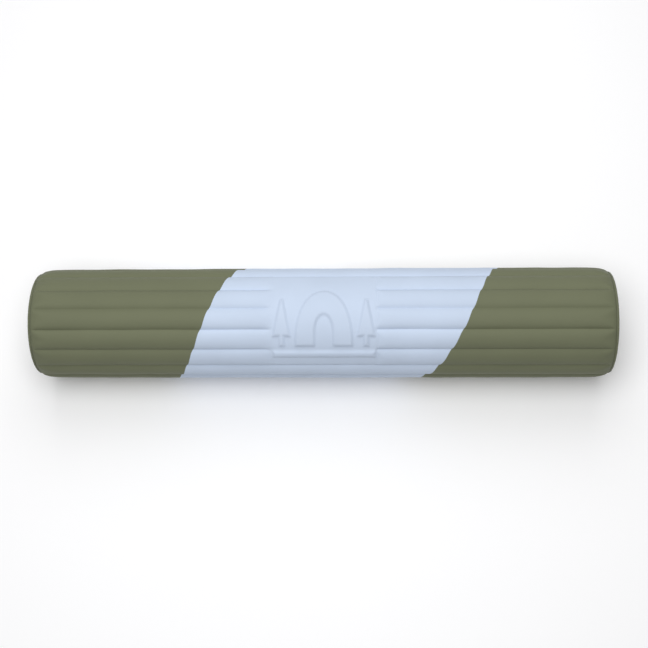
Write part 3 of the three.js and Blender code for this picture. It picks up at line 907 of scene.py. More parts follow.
class PILLOW_OT_cover(bpy.types.Operator):
    """Makes the cover's three ribbed panels and the pressed emblem"""

    bl_idname = "pillow.cover"
    bl_label = "Cover"

    def execute(self, context):
        settings = context.scene.pillow_cover
        sheet = make_cover_sheet(settings)
        subdivide(sheet)
        press_emblem(sheet, settings)
        keep_in_bounds(sheet, CROWN + 0.5 * MM)
        olive = soft_touch_knit("olive brushed knit", settings.olive)
        blue = soft_touch_knit("light blue brushed knit", settings.blue)
        panels = (
            ("ribbed_cover_left", "olive_cover", olive, "cover_left_panel"),
            ("ribbed_cover_band", "blue_cover", blue, "cover_centre_panel"),
            ("ribbed_cover_right", "olive_cover", olive, "cover_right_panel"),
        )
        for zone, (name, slot, fabric, node) in enumerate(panels):
            panel = cut_panel(sheet, name, zone)
            thicken(panel, settings.wall)
            finish(panel, "pillow", slot, fabric, node, smooth=28)
        bpy.data.objects.remove(sheet)
        return {"FINISHED"}


# End discs and piping


class EndSettings(bpy.types.PropertyGroup):
    dome: Length(
        name="Dome", description="How far a disc's padding stands out", default=1.1 * MM
    )
    thickness: Length(
        name="Padding", description="Thickness of an end disc", default=2.4 * MM
    )
    piping_ring: Length(
        name="Piping ring", description="Radius of the piping's middle line", default=43.1 * MM
    )
    piping_radius: Length(
        name="Piping radius", description="Half the piping's thickness", default=1.15 * MM
    )
    stitch_pitch: Length(
        name="Stitch pitch", description="From stitch to stitch", default=3.2 * MM
    )
    thread: Colour(name="Thread", description="Sewing thread", default=linear("#8b8f74"))


DISC_RECESS = 1.95  # millimetres from the valve's ring in to a disc's edge
DISC_HOLE = 16.9 * MM  # radius round the valve
STITCH_SHARE = 0.72  # of the pitch that a stitch takes up
STITCH_WIDTH = 0.5 * MM


def one_stitch(name, pitch):
    """One stitch of thread lying along X, sunk at both ends."""
    stitch = add(
        bpy.ops.mesh.primitive_uv_sphere_add,
        name,
        segments=8,
        ring_count=5,
        radius=0.5,
        rotation=ALONG_X,
    )
    stitch.scale = (pitch * STITCH_SHARE, STITCH_WIDTH, STITCH_WIDTH * 0.8)
    apply_place(stitch)
    return stitch


def stitch_ring(name, side, x, radius, pitch):
    """Stitches round the pillow's axis, on a face that looks along X."""
    ring = one_stitch(name, pitch)
    ring.rotation_euler = (0, 0, TURN / 4)
    ring.location = (side * x, 0, AXIS + radius)
    apply_place(ring)
    with editing(ring):
        bpy.ops.mesh.spin(
            steps=round(TURN * radius / pitch),
            dupli=True,
            angle=TURN,
            center=(side * x, 0, AXIS),
            axis=(1, 0, 0),
            use_normal_flip=False,
        )
    clean(ring)
    return ring


def end_disc(settings, name, side, hole):
    """A padded disc: its edge turns in beside the piping, and a stitched line runs inside it. Also
    gives the stitched line's radius and place in millimetres."""
    edge = high("valve_surround").x / MM - DISC_RECESS
    rim = (settings.piping_ring - settings.piping_radius) / MM + 0.75
    line, inner = rim - 3.2, hole / MM
    outline = [(edge + 0.55, rim), (edge + 0.75, rim - 0.7), (edge + 0.8, rim - 1.6)]
    outline += [(edge + 0.6, rim - 2.4), (edge + 0.2, line), (edge + 0.5, rim - 4.2)]
    outline += [(edge + 0.55, radius) for radius in np.arange(rim - 6.2, inner + 1, -2.0)]
    outline += [(edge + 0.35, inner)]
    disc = lathe(name, [(side * x, radius) for x, radius in outline], sides=128, fill=False)
    points = get_points(disc)
    radius, turned = round_places(points)
    held = (radius > (line - 0.3) * MM) | (radius < (inner + 0.7) * MM) & (inner > 0)
    padded = np.clip(1 - (radius / (line * MM)) ** 2, 0, 1) * (radius < (line + 0.2) * MM)
    points[:, 0] += side * settings.dome * padded
    # Gathers run in from the seam
    gather = waves(410 + side, turned / TURN, (1 / 37, 1 / 23, 1 / 58), 0.35 * MM)
    fade = smoothstep(radius, (rim - 15) * MM, (rim - 2) * MM) * (radius < (rim - 0.2) * MM)
    points[:, 0] += side * gather * fade
    set_points(disc, points)
    fill_by_pressure(
        disc, held, 16, 0.7 * MM, uniform_pressure_force=3.0, bending_stiffness=1, air_damping=3
    )
    points = get_points(disc)
    most = HALF_LENGTH + 0.2 * MM
    points[:, 0] = np.clip(points[:, 0], -most, most)
    set_points(disc, points)
    thicken(disc, settings.thickness)
    subdivide(disc)
    return disc, line, edge + 0.2


def round_bar(name, x, ring, radius, segments, sides):
    """A closed ring of round section about the pillow's axis."""
    return add(
        bpy.ops.mesh.primitive_torus_add,
        name,
        major_segments=segments,
        minor_segments=sides,
        major_radius=ring,
        minor_radius=radius,
        location=(x, 0, AXIS),
        rotation=ALONG_X,
    )


class PILLOW_OT_ends(bpy.types.Operator):
    """Makes the two padded end discs, their stitched lines and the piping round them"""

    bl_idname = "pillow.ends"
    bl_label = "End discs and piping"

    def execute(self, context):
        settings = context.scene.pillow_ends
        cover = context.scene.pillow_cover
        knit = soft_touch_knit("olive end knit", cover.olive, uses_surface=False)
        thread = twisted_thread("olive polyester thread", settings.thread)
        binding = woven_binding("olive woven binding", cover.piping, 0.4457 * MM)
        for end, side, hole in (("left", -1, 0), ("right", 1, DISC_HOLE)):
            name = "padded_end_" + end
            disc, line, x = end_disc(settings, name, side, hole)
            finish(disc, "pillow", "olive_cover", knit, end + "_end_disc", smooth=60)
            pitch = settings.stitch_pitch
            ring = stitch_ring(name + "_stitches", side, x * MM, line * MM, pitch)
            finish(ring, "pillow", "olive_cover", thread, smooth=180)
        for end, side in (("left", -1), ("right", 1)):
            ring, radius = settings.piping_ring, settings.piping_radius
            x = side * (HALF_LENGTH - radius)
            piping = round_bar("bound_piping_" + end, x, ring, radius, 200, 14)
            # The binding's fabric puckers a little along the cord inside it
            points = get_points(piping)
            reach, turned = round_places(points)
            pucker = waves(500 + side, turned / TURN, (1 / 61, 1 / 83, 1 / 29), 0.22 * MM)
            scale_round(points, 1 + pucker * (reach > ring) / reach)
            points[:, 2] = np.maximum(points[:, 2], 0)
            set_points(piping, points)
            finish(piping, "pillow", "olive_piping", binding, end + "_piping", smooth=180)
        return {"FINISHED"}


# Foam sleeve and bladder


class InsideSettings(bpy.types.PropertyGroup):
    foam: Colour(name="Foam", description="Cushion foam", default=linear("#e6dec2"))
    film: Colour(name="Film", description="The air bladder", default=linear("#9ea59e"))


class PILLOW_OT_inside(bpy.types.Operator):
    """Makes the slit foam sleeve and the welded air bladder"""

    bl_idname = "pillow.inside"
    bl_label = "Foam and bladder"

    def execute(self, context):
        settings = context.scene.pillow_inside
        self.foam(settings)
        self.bladder(settings)
        return {"FINISHED"}

    def foam(self, settings):
        outer = high("foam_sleeve").z - AXIS - 0.1 * MM
        length = high("foam_sleeve").x - 0.2 * MM
        sleeve = add(
            bpy.ops.mesh.primitive_cylinder_add,
            "slit_foam_sleeve",
            vertices=120,
            radius=outer,
            depth=length * 2,
            end_fill_type="NOTHING",
            location=(0, 0, AXIS),
            rotation=ALONG_X,
        )
        with editing(sleeve, "FACE"):
            pick(sleeve, "faces", lambda face: face.calc_center_median().y > outer * 0.985)
            bpy.ops.mesh.delete(type="FACE")
        cut_rows(sleeve, np.linspace(-0.96, 0.96, 25) * length)
        # Cut foam is never quite even
        points = get_points(sleeve)
        _, turned = round_places(points)
        uneven = waves(600, points[:, 0], (0.05, 0.09, 0.17), 0.25 * MM)
        uneven += waves(601, turned / TURN, (1 / 5, 1 / 9, 1 / 16), 0.2 * MM)
        scale_round(points, 1 - np.abs(uneven) / outer)
        set_points(sleeve, points)
        thicken(sleeve, 7.2 * MM)
        soften_edges(sleeve, 1.2 * MM, angle=50, segments=3)
        foam = open_cell_foam("cream cushion foam", settings.foam)
        finish(sleeve, "pillow", "cream_foam", foam, "foam_sleeve", smooth=40)

    def bladder(self, settings):
        radius = (high("bladder_tube").z - AXIS) / MM - 0.2
        end = high("bladder_right_end").x / MM
        bore = 12.6
        face = [(end - 0.1, bore), (end - 0.1, bore + 4)]
        shoulder = [(end - 0.2, radius - 10), (end - 0.5, radius - 4)]
        shoulder += [(end - 1.4, radius - 1.2), (end - 3, radius - 0.4)]
        weld = [(end - 5, radius - 0.35), (end - 5.2, radius)]
        weld += [(end - 8, radius), (end - 8.2, radius - 0.35)]
        tube = [(x, radius - 0.3) for x in np.linspace(end - 14, -end + 14, 30)]
        left = [(-x, r) for x, r in (shoulder + weld)[::-1]] + [(-end + 0.2, 8), (-end + 0.2, 0)]
        outline = face + shoulder + weld + tube + left
        bladder = lathe("welded_air_bladder", outline, sides=96, fill=False)
        # The film gathers towards its welded ends
        points = get_points(bladder)
        reach, turned = round_places(points)
        from_middle = np.abs(points[:, 0])
        near_end = smoothstep(from_middle, (end - 45) * MM, (end - 9) * MM)
        gather = np.abs(waves(620, turned / TURN, (1 / 19, 1 / 31, 1 / 12), 1.1 * MM))
        on_tube = (from_middle < (end - 8.5) * MM) & (reach > (radius - 1) * MM)
        scale_round(points, 1 - gather * near_end * on_tube / np.maximum(reach, MM))
        set_points(bladder, points)
        thicken(bladder, 0.3 * MM)
        subdivide(bladder)
        shader = {"Coat Weight": 0.15}
        film = moulded_plastic(
            "grey coated film", settings.film, 0.42, grain=0.9 * MM, depth=0.03 * MM, **shader
        )
        nodes = ("bladder_tube", "bladder_left_end", "bladder_right_end")
        finish(bladder, "pillow", "bladder_film", film, *nodes, smooth=40)


# Valve


class ValveSettings(bpy.types.PropertyGroup):
    plastic: Colour(name="Valve", description="Moulded parts", default=linear("#44473d"))
    rubber: Colour(name="Seal", description="Sealing ring", default=linear("#1f211f"))
    silicone: Colour(name="Flap", description="One-way flap", default=linear("#cfd6d4"))
    bore: Length(name="Bore", description="Radius of the wide bore", default=12.5 * MM)
    inlet: Length(name="Inlet", description="Radius of the inlet", default=7 * MM)


def valve_places(settings):
    """The places along X, the radii and the hinge lines that the valve's parts share, in
    millimetres."""
    at = SimpleNamespace(bore=settings.bore / MM, inlet=settings.inlet / MM)
    at.flange = low("valve_base").x / MM
    at.cap_top = high("valve_cap").x / MM
    at.cap_base = at.cap_top - 1.2
    at.plug_top = at.cap_base - 0.3
    at.plug_base = at.plug_top - 1.4
    at.strap_top = at.plug_base - 0.3
    at.strap_base = at.strap_top - 0.6
    at.collar = at.bore + 3.5
    at.plug_hinge = at.collar + 2.6
    at.cap_hinge = -12.6
    return at


class PILLOW_OT_valve(bpy.types.Operator):
    """Makes the two-stage valve: base, sewn surround, plug, seal, flap, cap and strap hinges"""

    bl_idname = "pillow.valve"
    bl_label = "Valve"

    def execute(self, context):
        settings = context.scene.pillow_valve
        plastic = moulded_plastic("dark green-grey moulded TPU", settings.plastic, 0.46)
        rubber = moulded_plastic("black moulded rubber", settings.rubber, 0.55, grain=0.3 * MM)
        shader = {"Transmission Weight": 0.35}
        silicone = moulded_plastic(
            "clear cast silicone", settings.silicone, 0.3, grain=1.5 * MM, **shader
        )
        at = valve_places(settings)
        self.base(plastic, at)
        self.surround(context)
        self.plug(plastic, at)
        self.cap(plastic, at)
        self.seal(rubber)
        self.flap(silicone)
        bodies = ("pillow", "plug")
        self.hinge_strip(plastic, "plug_hinge_strip", bodies, at.plug_hinge, at.plug_top, 5.6, 1)
        bodies = ("plug", "cap")
        self.hinge_strip(plastic, "cap_hinge_strip", bodies, at.cap_hinge, at.cap_top, 3.0, -1)
        return {"FINISHED"}

    def base(self, plastic, at):
        rim = at.collar + 8
        outline = [(at.flange, at.bore), (at.flange, rim - 0.4), (at.flange + 0.3, rim)]
        outline += [(at.flange + 0.6, rim), (at.flange + 0.8, rim - 0.6)]
        outline += [(at.flange + 0.8, at.collar + 0.5), (at.flange + 1.4, at.collar)]
        outline += [(at.strap_top, at.collar), (at.strap_top, at.bore)]
        outline += [(at.flange + 2, at.bore), (at.flange, at.bore)]
        base = lathe("valve_body", outline, sides=96)
        end = at.plug_hinge + 3.3
        strap = slab("strap", (at.strap_base, at.strap_top), (at.collar - 1, end), 8)
        lug = slab("lug", (at.strap_base, at.plug_top - 0.15), (at.plug_hinge + 0.3, end), 8)
        combine(base, [strap, lug])
        soften_edges(base, 0.22 * MM)
        finish(base, "pillow", "valve_plastic", plastic, "valve_base")

    def surround(self, context):
        inner, outer = 17.3, (high("valve_surround").z - AXIS) / MM
        back, face = low("valve_surround").x / MM, high("valve_surround").x / MM
        outline = [(back, inner), (back, outer), (back + 0.45, outer), (face, outer - 0.6)]
        outline += [(face - 0.1, (inner + outer) / 2), (face, inner + 0.6)]
        outline += [(face - 0.35, inner), (back, inner)]
        ring = lathe("sewn_valve_surround", outline, sides=96)
        soften_edges(ring, 0.15 * MM, angle=30)
        piping = context.scene.pillow_cover.piping
        binding = woven_binding("olive woven ring", piping, 0.4457 * MM)
        finish(ring, "pillow", "olive_piping", binding, "valve_surround", smooth=50)
        thread = twisted_thread("olive ring thread", context.scene.pillow_ends.thread)
        radius = (outer - 0.95) * MM
        ring = stitch_ring("valve_surround_stitches", 1, (face - 0.02) * MM, radius, 2.4 * MM)
        finish(ring, "pillow", "olive_piping", thread, smooth=180)

    def plug(self, plastic, at):
        top, base, collar, inlet = at.plug_top, at.plug_base, at.collar, at.inlet
        skirt, end, seal = at.bore - 0.4, base - 5.8, base - 1.6
        groove = skirt - 0.95
        outline = [(end, inlet), (end, skirt - 0.8), (seal - 1.1, skirt), (seal - 0.7, skirt)]
        outline += [(seal - 0.7, groove), (seal + 0.7, groove), (seal + 0.7, skirt)]
        outline += [(base, skirt), (base, collar - 0.1), (base + 0.5, collar)]
        outline += [(top - 0.5, collar), (top, collar - 0.5)]
        outline += [(top, 11.6), (top - 0.3, 11.2), (top - 0.3, 10.4), (top, 10.0)]
        outline += [(top, inlet), (top - 2, inlet), (end, inlet)]
        plug = lathe("valve_wide_plug", outline, sides=96)
        centre, size = ((end + 1.6) * MM, 0, AXIS), (1.2 * MM, (inlet + 0.5) * 2 * MM, 1.6 * MM)
        parts = [box("spoke", centre, size, turn=number * TURN / 6) for number in range(3)]
        parts.append(slab("strap", (base, top), (collar - 1, at.plug_hinge - 0.3), 7))
        lug = (base + 0.3, at.cap_top - 0.15)
        parts.append(slab("lug", lug, (-collar + 0.6, at.cap_hinge - 0.3), 5))
        combine(plug, parts)
        soften_edges(plug, 0.2 * MM)
        finish(plug, "plug", "valve_plastic", plastic, "valve_plug")

    def cap(self, plastic, at):
        base, top = at.cap_base, at.cap_top
        stopper, end = at.inlet - 0.3, base - 3.6
        outline = [(end + 1.2, 1.5), (end + 1.0, stopper - 2.2), (end + 0.1, stopper - 1.7)]
        outline += [(end, stopper - 1.0), (end + 0.4, stopper - 0.5)]
        outline += [(base - 1.6, stopper - 0.25), (base - 1.3, stopper - 0.05)]
        outline += [(base - 1.0, stopper - 0.25), (base, stopper - 0.1), (base, 9.3)]
        outline += [(base + 0.3, 9.5), (top - 0.4, 9.5), (top, 9.1), (top, 7.6)]
        outline += [(top - 0.35, 6.6), (top - 0.45, 3), (top - 0.45, 0)]
        cap = lathe("valve_inlet_cap", outline, sides=80)
        strap = slab("strap", (base, top), (at.cap_hinge + 0.3, -8.5), 4)
        tab = slab("tab", (base, top), (8.5, 13.5), 5)
        centre, size = (top * MM, 11.6 * MM, AXIS), (0.36 * MM, 0.5 * MM, 4 * MM)
        bars = grip_bars(3, 1.1 * MM, centre, size, along=1)
        combine(cap, [strap, tab, *bars])
        soften_edges(cap, 0.15 * MM)
        finish(cap, "cap", "valve_plastic", plastic, "valve_cap")

    def seal(self, rubber):
        lowest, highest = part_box("valve_plug_seal")
        radius = (highest.x - lowest.x) / 2
        x = (lowest.x + highest.x) / 2
        seal = round_bar("plug_sealing_ring", x, highest.y - radius, radius, 96, 12)
        # A mould's parting line
        points = get_points(seal)
        reach, _ = round_places(points)
        scale_round(points, np.where(reach > highest.y - 0.02 * MM, 1.004, 1))
        set_points(seal, points)
        finish(seal, "plug", "seal_rubber", rubber, "valve_plug_seal", smooth=50)

    def flap(self, silicone):
        lowest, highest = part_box("valve_flap")
        back, face, edge = lowest.x / MM, highest.x / MM, highest.y / MM
        outline = [(back + 0.1, 1.2), (back, edge - 1.2), (back + 0.15, edge - 0.2)]
        outline += [(back + 0.35, edge), (face, edge - 0.15), (face, edge - 1.4)]
        outline += [(face - 0.12, edge - 1.8), (face - 0.12, 1), (face - 0.05, 0)]
        flap = lathe("inlet_flap", outline)
        finish(flap, "flap", "flap_silicone", silicone, "valve_flap", smooth=40)

    def hinge_strip(self, plastic, name, bodies, hinge, top, width, side):
        """A thin moulded strip across a lid's hinge line."""
        strip = slab(name, (top - 0.3, top + 0.2), (hinge - 1.2, hinge + 1.2), width)
        cut_rows(strip, [(hinge - 1.2 + step * 0.2) * MM for step in range(1, 12)], axis=1)
        # Its outer face is thinner along the hinge line
        points = get_points(strip)
        near = np.exp(-(((points[:, 1] - hinge * MM) / (0.45 * MM)) ** 2))
        points[:, 0] -= near * 0.12 * MM * (points[:, 0] > top * MM)
        set_points(strip, points)
        finish(strip, None, "valve_plastic", plastic, smooth=40)
        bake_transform(strip)


# Zip


class ZipSettings(bpy.types.PropertyGroup):
    tape: Colour(name="Tape", description="Woven tape", default=linear("#5b5f44"))
    coil: Colour(name="Coil", description="Nylon coil", default=linear("#4f523c"))
    metal: Colour(name="Slider", description="Painted zinc", default=linear("#4a4c40"))
    pull: Colour(name="Pull", description="Moulded rubber", default=linear("#62664b"))
    pitch: Length(name="Pitch", description="From turn to turn of the coil", default=1.4 * MM)


SIDES = (("upper", 1), ("lower", -1))  # of the zip
ZIP_STITCH_PITCH = 3.0 * MM


class PILLOW_OT_zip(bpy.types.Operator):
    """Makes the zip: tapes, coil, stops, slider, pull and the stitching beside it"""

    bl_idname = "pillow.zip"
    bl_label = "Zip"

    def execute(self, context):
        settings = context.scene.pillow_zip
        coil = moulded_plastic("olive nylon coil", settings.coil, 0.38, grain=0.6 * MM)
        metal = painted_zinc("dark painted zinc", settings.metal)
        rubber = moulded_plastic(
            "olive moulded pull rubber", settings.pull, 0.52, grain=0.35 * MM
        )
        tape = woven_binding("olive woven zip tape", settings.tape, 0.382 * MM)
        self.tapes(tape)
        self.rows(settings, coil)
        self.stops(metal)
        self.slider(metal)
        self.pull(rubber)
        self.stitching(context)
        return {"FINISHED"}

    def tapes(self, tape):
        for end, side in SIDES:
            lowest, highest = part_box("zip_tape_" + end)
            radius = highest.y - 0.1 * MM
            strip = add(
                bpy.ops.mesh.primitive_grid_add,
                "woven_tape_" + end,
                x_subdivisions=96,
                y_subdivisions=10,
                size=1,
            )
            points = get_points(strip)
            across = points[:, 1]  # 0.5 at the edge away from the coil
            x = points[:, 0] * (highest.x - lowest.x - 0.6 * MM)
            offset = (across + 0.5) * 10.8 * MM + 1.0 * MM
            offset += (across > 0.49) * waves(700 + side, x, (0.021, 0.035, 0.013), 0.25 * MM)
            turned = side * offset / radius
            sag = np.abs(waves(710 + side, x, (0.03, 0.055, 0.09), 0.12 * MM)) * (across > 0)
            set_points(strip, from_round(turned - TURN / 4, radius - sag, x))
            self.face_out(strip)
            thicken(strip, 0.42 * MM)
            finish(strip, "pillow", "zip_tape", tape, "zip_tape_" + end, smooth=40)

    def face_out(self, strip):
        """Turns a sheet's faces away from the pillow's axis."""
        if strip.data.polygons[0].normal.y < 0:
            with editing(strip):
                bpy.ops.mesh.flip_normals()

    def rows(self, settings, coil):
        wire = 0.33 * MM
        near, far = 0.5 * MM, 2.95 * MM
        for end, side in SIDES:
            lowest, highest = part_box("zip_row_" + end)
            row = add(
                bpy.ops.mesh.primitive_torus_add,
                "coil_" + end,
                major_segments=10,
                minor_segments=4,
                major_radius=1 * MM - wire,
                minor_radius=wire,
                rotation=ALONG_X,
            )
            # A turn is an oval across the zip, its head swollen, and it leans on by half a pitch
            x, y, z = get_points(row).T
            across = z / MM
            x = x + settings.pitch * 0.25 * across * side
            x = x * (1 + 0.35 * smoothstep(-across * side, 0.5, 1.0))
            x = x + lowest.x + 0.9 * MM + (side > 0) * settings.pitch / 2
            y = (lowest.y + highest.y) / 2 + y * (highest.y - lowest.y) / (2 * MM)
            z = AXIS + side * (near + far) / 2 + z * (far - near) / (2 * MM)
            set_points(row, np.stack([x, y, z], axis=-1))
            count = int((highest.x - lowest.x - 2.4 * MM) / settings.pitch)
            repeat_along(row, count, settings.pitch)
            finish(row, "pillow", "zip_coil", coil, "zip_row_" + end, smooth=180)

    def stops(self, metal):
        for end in ("top_stop", "bottom_stop"):
            lowest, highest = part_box("zip_" + end)
            stop = box("pressed_" + end, (lowest + highest) / 2, highest - lowest)
            with editing(stop, "FACE"):
                pick(stop, "faces", lambda face: face.normal.y > 0.9)
                bpy.ops.mesh.inset(thickness=0.35 * MM, depth=-0.12 * MM)
            soften_edges(stop, 0.16 * MM, segments=3)
            finish(stop, "pillow", "zip_metal", metal, "zip_" + end)

    def slider(self, metal):
        lowest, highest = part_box("zip_slider")
        front, back, half = highest.x, lowest.x, highest.z - AXIS
        length, middle = front - back, (front + back) / 2
        waist = back + 0.45 * length
        bottom, top = lowest.y, highest.y - 2.4 * MM

        def plate(name, y_low, y_high, half_width):
            """A plate that is narrower at its back end and widest at its waist."""
            centre = (middle, (y_low + y_high) / 2, AXIS)
            piece = box(name, centre, (length, y_high - y_low, half_width * 2))
            pivot = (back, y_low, AXIS)
            with editing(piece):
                pick(piece, "verts", lambda vert: vert.co.x < back + 0.1 * MM)
                bpy.ops.transform.resize(value=(1, 1, 0.7), center_override=pivot)
            cut_rows(piece, [waist])
            with editing(piece):
                pick(piece, "verts", lambda vert: abs(vert.co.x - waist) < 0.1 * MM)
                bpy.ops.transform.resize(value=(1, 1, 1.12), center_override=pivot)
            round_corners(piece, 0.8 * MM)
            return piece

        slider = plate("zip_slider_body", top - 0.9 * MM, top, half)
        parts = [plate("bottom", bottom, bottom + 0.9 * MM, half - 0.6 * MM)]
        row_base, wall_top = low("zip_row_upper").y, top - 0.3 * MM
        for side in (1, -1):
            centre = (middle, (row_base + wall_top) / 2, AXIS + side * (half - 0.3 * MM))
            wall = box("wall", centre, (length - 1.2 * MM, wall_top - row_base, 0.6 * MM))
            with editing(wall):
                pick(wall, "verts", lambda vert: vert.co.x < middle)
                bpy.ops.transform.translate(value=(0, 0, -side * 0.85 * MM))
            parts.append(wall)
        centre = (front - 1.25 * MM, (bottom + top) / 2, AXIS)
        parts.append(box("neck", centre, (2.3 * MM, top - bottom - 0.4 * MM, 0.78 * MM)))
        combine(slider, parts)
        soften_edges(slider, 0.16 * MM)
        bridge = self.bridge(front, top, highest.y)
        make_active(slider)
        bridge.select_set(True)
        bpy.ops.object.join()
        finish(slider, "slider", "zip_metal", metal, "zip_slider")

    def bridge(self, front, plate_top, arch_top):
        """The bridge that the pull turns in: half a turn of bar, flattened to its height."""
        reach, base = 2.9 * MM, plate_top - 0.4 * MM
        middle = front - 0.4 * MM - reach
        bridge = add(
            bpy.ops.mesh.primitive_circle_add,
            "bridge",
            vertices=12,
            radius=0.5 * MM,
            location=(middle + reach, base, AXIS),
            rotation=(TURN / 4, 0, 0),
        )
        with editing(bridge):
            pivot = (middle + reach, plate_top, AXIS)
            bpy.ops.transform.resize(value=(0.8, 1, 1.6), center_override=pivot)
            bpy.ops.mesh.spin(
                steps=18, angle=TURN / 2, center=(middle, base, AXIS), axis=(0, 0, 1), dupli=False
            )
        points = get_points(bridge)
        rise = np.abs(points[:, 1] - base)
        points[:, 1] = base + rise * (arch_top - base) / rise.max()
        set_points(bridge, points)
        with editing(bridge):
            bpy.ops.mesh.remove_doubles(threshold=0.01 * MM)
            bpy.ops.mesh.fill_holes(sides=0)
        clean(bridge)
        return bridge

    def pull(self, rubber):
        lowest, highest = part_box("zip_pull")
        y_middle, thick = (lowest.y + highest.y) / 2, highest.y - lowest.y
        length, half = highest.x - lowest.x, highest.z - AXIS
        pull = box("zip_pull_tab", (lowest + highest) / 2, highest - lowest)
        shares = (0.12, 0.24, 0.36, 0.5, 0.62, 0.74, 0.86)
        cut_rows(pull, [lowest.x + share * length for share in shares])
        # It narrows towards the eye
        points = get_points(pull)
        share = (points[:, 0] - lowest.x) / length
        waist = 1 - 0.26 * np.exp(-(((share - 0.68) / 0.14) ** 2))
        points[:, 2] = AXIS + (points[:, 2] - AXIS) * waist
        set_points(pull, points)
        round_corners(pull, 1.9 * MM, only=lambda x: x < lowest.x + MM)
        round_corners(pull, 0.6 * MM, only=lambda x: x > highest.x - MM)
        centre = (highest.x - 3.25 * MM, y_middle, AXIS)
        eye = box("eye", centre, (4.5 * MM, thick * 3, 3.4 * MM))
        round_corners(eye, 0.8 * MM)
        combine(pull, [eye], "DIFFERENCE")
        centre = (lowest.x + 7.2 * MM, y_middle, AXIS)
        size = (0.6 * MM, thick + 0.3 * MM, (half - 0.7 * MM) * 2)
        combine(pull, grip_bars(6, 1.5 * MM, centre, size, along=0))
        soften_edges(pull, 0.14 * MM)
        finish(pull, "pull", "zip_pull_rubber", rubber, "zip_pull")

    def stitching(self, context):
        pitch = ZIP_STITCH_PITCH
        radius = CROWN - context.scene.pillow_cover.crease_depth
        thread = twisted_thread("olive zip thread", context.scene.pillow_ends.thread)
        for end, side in SIDES:
            line = one_stitch("zip_stitches_" + end, pitch)
            turned = side * 5.35 * MM / radius
            reach = radius + 0.12 * MM
            y, z = reach * math.cos(turned), AXIS + reach * math.sin(turned)
            line.location = (-SLOT_HALF_LENGTH + pitch, y, z)
            apply_place(line)
            repeat_along(line, int((SLOT_HALF_LENGTH * 2 - pitch) / pitch), pitch)
            finish(line, "pillow", "olive_cover", thread, smooth=180)


# Stage


class StageSettings(bpy.types.PropertyGroup):
    lens: FloatProperty(
        name="Lens", description="Focal length", default=62.1, subtype="DISTANCE_CAMERA"
    )
    distance: Length(
        name="Distance", description="From the camera to the pillow's axis", default=0.9865
    )
    tilt: Angle(
        name="Tilt",
        description="From straight above towards the front",
        default=math.radians(15.65),
    )
    swing: Angle(name="Swing", description="Towards the right end", default=math.radians(2.41))
    roll: Angle(name="Roll", description="About the line of sight", default=math.radians(0.15))
    floor: Colour(name="Floor", description="Plain pale floor", default=linear("#fbfbfc"))
    key_power: FloatProperty(
        name="Key light", description="The large soft light", default=13.5, unit="POWER"
    )
    back_power: FloatProperty(
        name="Back light", description="From behind", default=5.0, unit="POWER"
    )
    sky: FloatProperty(name="Sky", description="Even light from all round", default=0.22)


FRAME_SHIFT = (0.0025, -0.0017)
KEY_PLACE, KEY_SIZE = Vector((-0.07, -0.15, 1.33)), 1.1
BACK_PLACE, BACK_SIZE = Vector((0.0, 0.75, 1.0)), 1.0


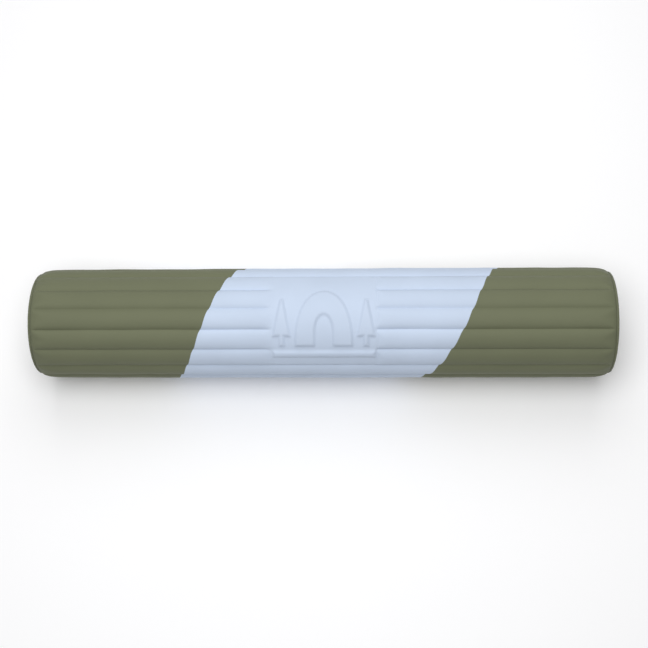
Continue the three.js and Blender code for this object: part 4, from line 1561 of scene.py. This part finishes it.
class PILLOW_OT_stage(bpy.types.Operator):
    """Sets the camera, the floor and the soft studio light"""

    bl_idname = "pillow.stage"
    bl_label = "Stage"

    def execute(self, context):
        settings = context.scene.pillow_stage
        centre = Vector((0, 0, AXIS))
        self.camera(context, settings, centre)
        self.light("key light", KEY_PLACE, centre, KEY_SIZE, settings.key_power)
        self.light("back light", BACK_PLACE, centre, BACK_SIZE, settings.back_power)
        world = context.scene.world = bpy.data.worlds.new("studio")
        world.use_nodes = True
        sky = world.node_tree.nodes["Background"].inputs
        sky["Color"].default_value = (1, 1, 1, 1)
        sky["Strength"].default_value = settings.sky
        floor = add(bpy.ops.mesh.primitive_plane_add, "floor", size=6, location=(0, 0, -0.2 * MM))
        # Matt paper: hardly any gloss, and even but for a trace of mottling
        paper, node, place = start_material("matt white paper")
        tint = mottled(node, place, settings.floor, 0.5, 0.004)
        end_material(node, tint, {"Roughness": 0.9, "Specular IOR Level": 0.1})
        floor.data.materials.append(paper)
        context.scene.view_settings.view_transform = "Standard"
        return {"FINISHED"}

    def camera(self, context, settings, centre):
        tilt, swing = settings.tilt, settings.swing
        over = Vector((0, -math.sin(tilt), math.cos(tilt)))
        away = (over * math.cos(swing) + Vector((math.sin(swing), 0, 0))).normalized()
        bpy.ops.object.camera_add(location=centre + away * settings.distance)
        camera = context.scene.camera = context.active_object
        camera.name = "camera"
        turn = away.to_track_quat("Z", "Y")
        up = turn.inverted() @ Vector((0, math.cos(tilt), math.sin(tilt)))
        roll = math.atan2(up.x, up.y) + settings.roll
        camera.rotation_euler = (Quaternion(away, -roll) @ turn).to_euler()
        camera.data.lens = settings.lens
        camera.data.shift_x, camera.data.shift_y = FRAME_SHIFT

    def light(self, name, place, centre, size, power):
        bpy.ops.object.light_add(type="AREA", location=place)
        light = bpy.context.active_object
        light.name = name
        light.data.shape = "DISK"
        light.data.size = size
        light.data.energy = power
        light.rotation_euler = (place - centre).to_track_quat("Z", "Y").to_euler()


SETTINGS = {
    "pillow_cover": CoverSettings,
    "pillow_ends": EndSettings,
    "pillow_inside": InsideSettings,
    "pillow_valve": ValveSettings,
    "pillow_zip": ZipSettings,
    "pillow_stage": StageSettings,
}
OPERATORS = (
    PILLOW_OT_stage,
    PILLOW_OT_cover,
    PILLOW_OT_ends,
    PILLOW_OT_inside,
    PILLOW_OT_valve,
    PILLOW_OT_zip,
)


class PILLOW_PT_panel(bpy.types.Panel):
    """Lists the pillow's pieces and the stage"""

    bl_idname = "PILLOW_PT_panel"
    bl_label = "Ribbed camp pillow"
    bl_space_type = "VIEW_3D"
    bl_region_type = "UI"
    bl_category = "Pillow"

    def draw(self, context):
        for group in SETTINGS:
            settings = getattr(context.scene, group)
            column = self.layout.box()
            for name in settings.__annotations__:
                column.prop(settings, name)
        for operator in OPERATORS:
            self.layout.operator(operator.bl_idname)


CLASSES = (*SETTINGS.values(), *OPERATORS, PILLOW_PT_panel)


def register():
    for cls in CLASSES:
        bpy.utils.register_class(cls)
    for name, group in SETTINGS.items():
        setattr(bpy.types.Scene, name, PointerProperty(type=group))


def unregister():
    for name in SETTINGS:
        delattr(bpy.types.Scene, name)
    for cls in reversed(CLASSES):
        bpy.utils.unregister_class(cls)


def main():
    register()
    bpy.ops.pillow.stage()
    bpy.ops.pillow.cover()
    bpy.ops.pillow.ends()
    bpy.ops.pillow.inside()
    bpy.ops.pillow.valve()
    bpy.ops.pillow.zip()


if __name__ == "__main__":
    main()
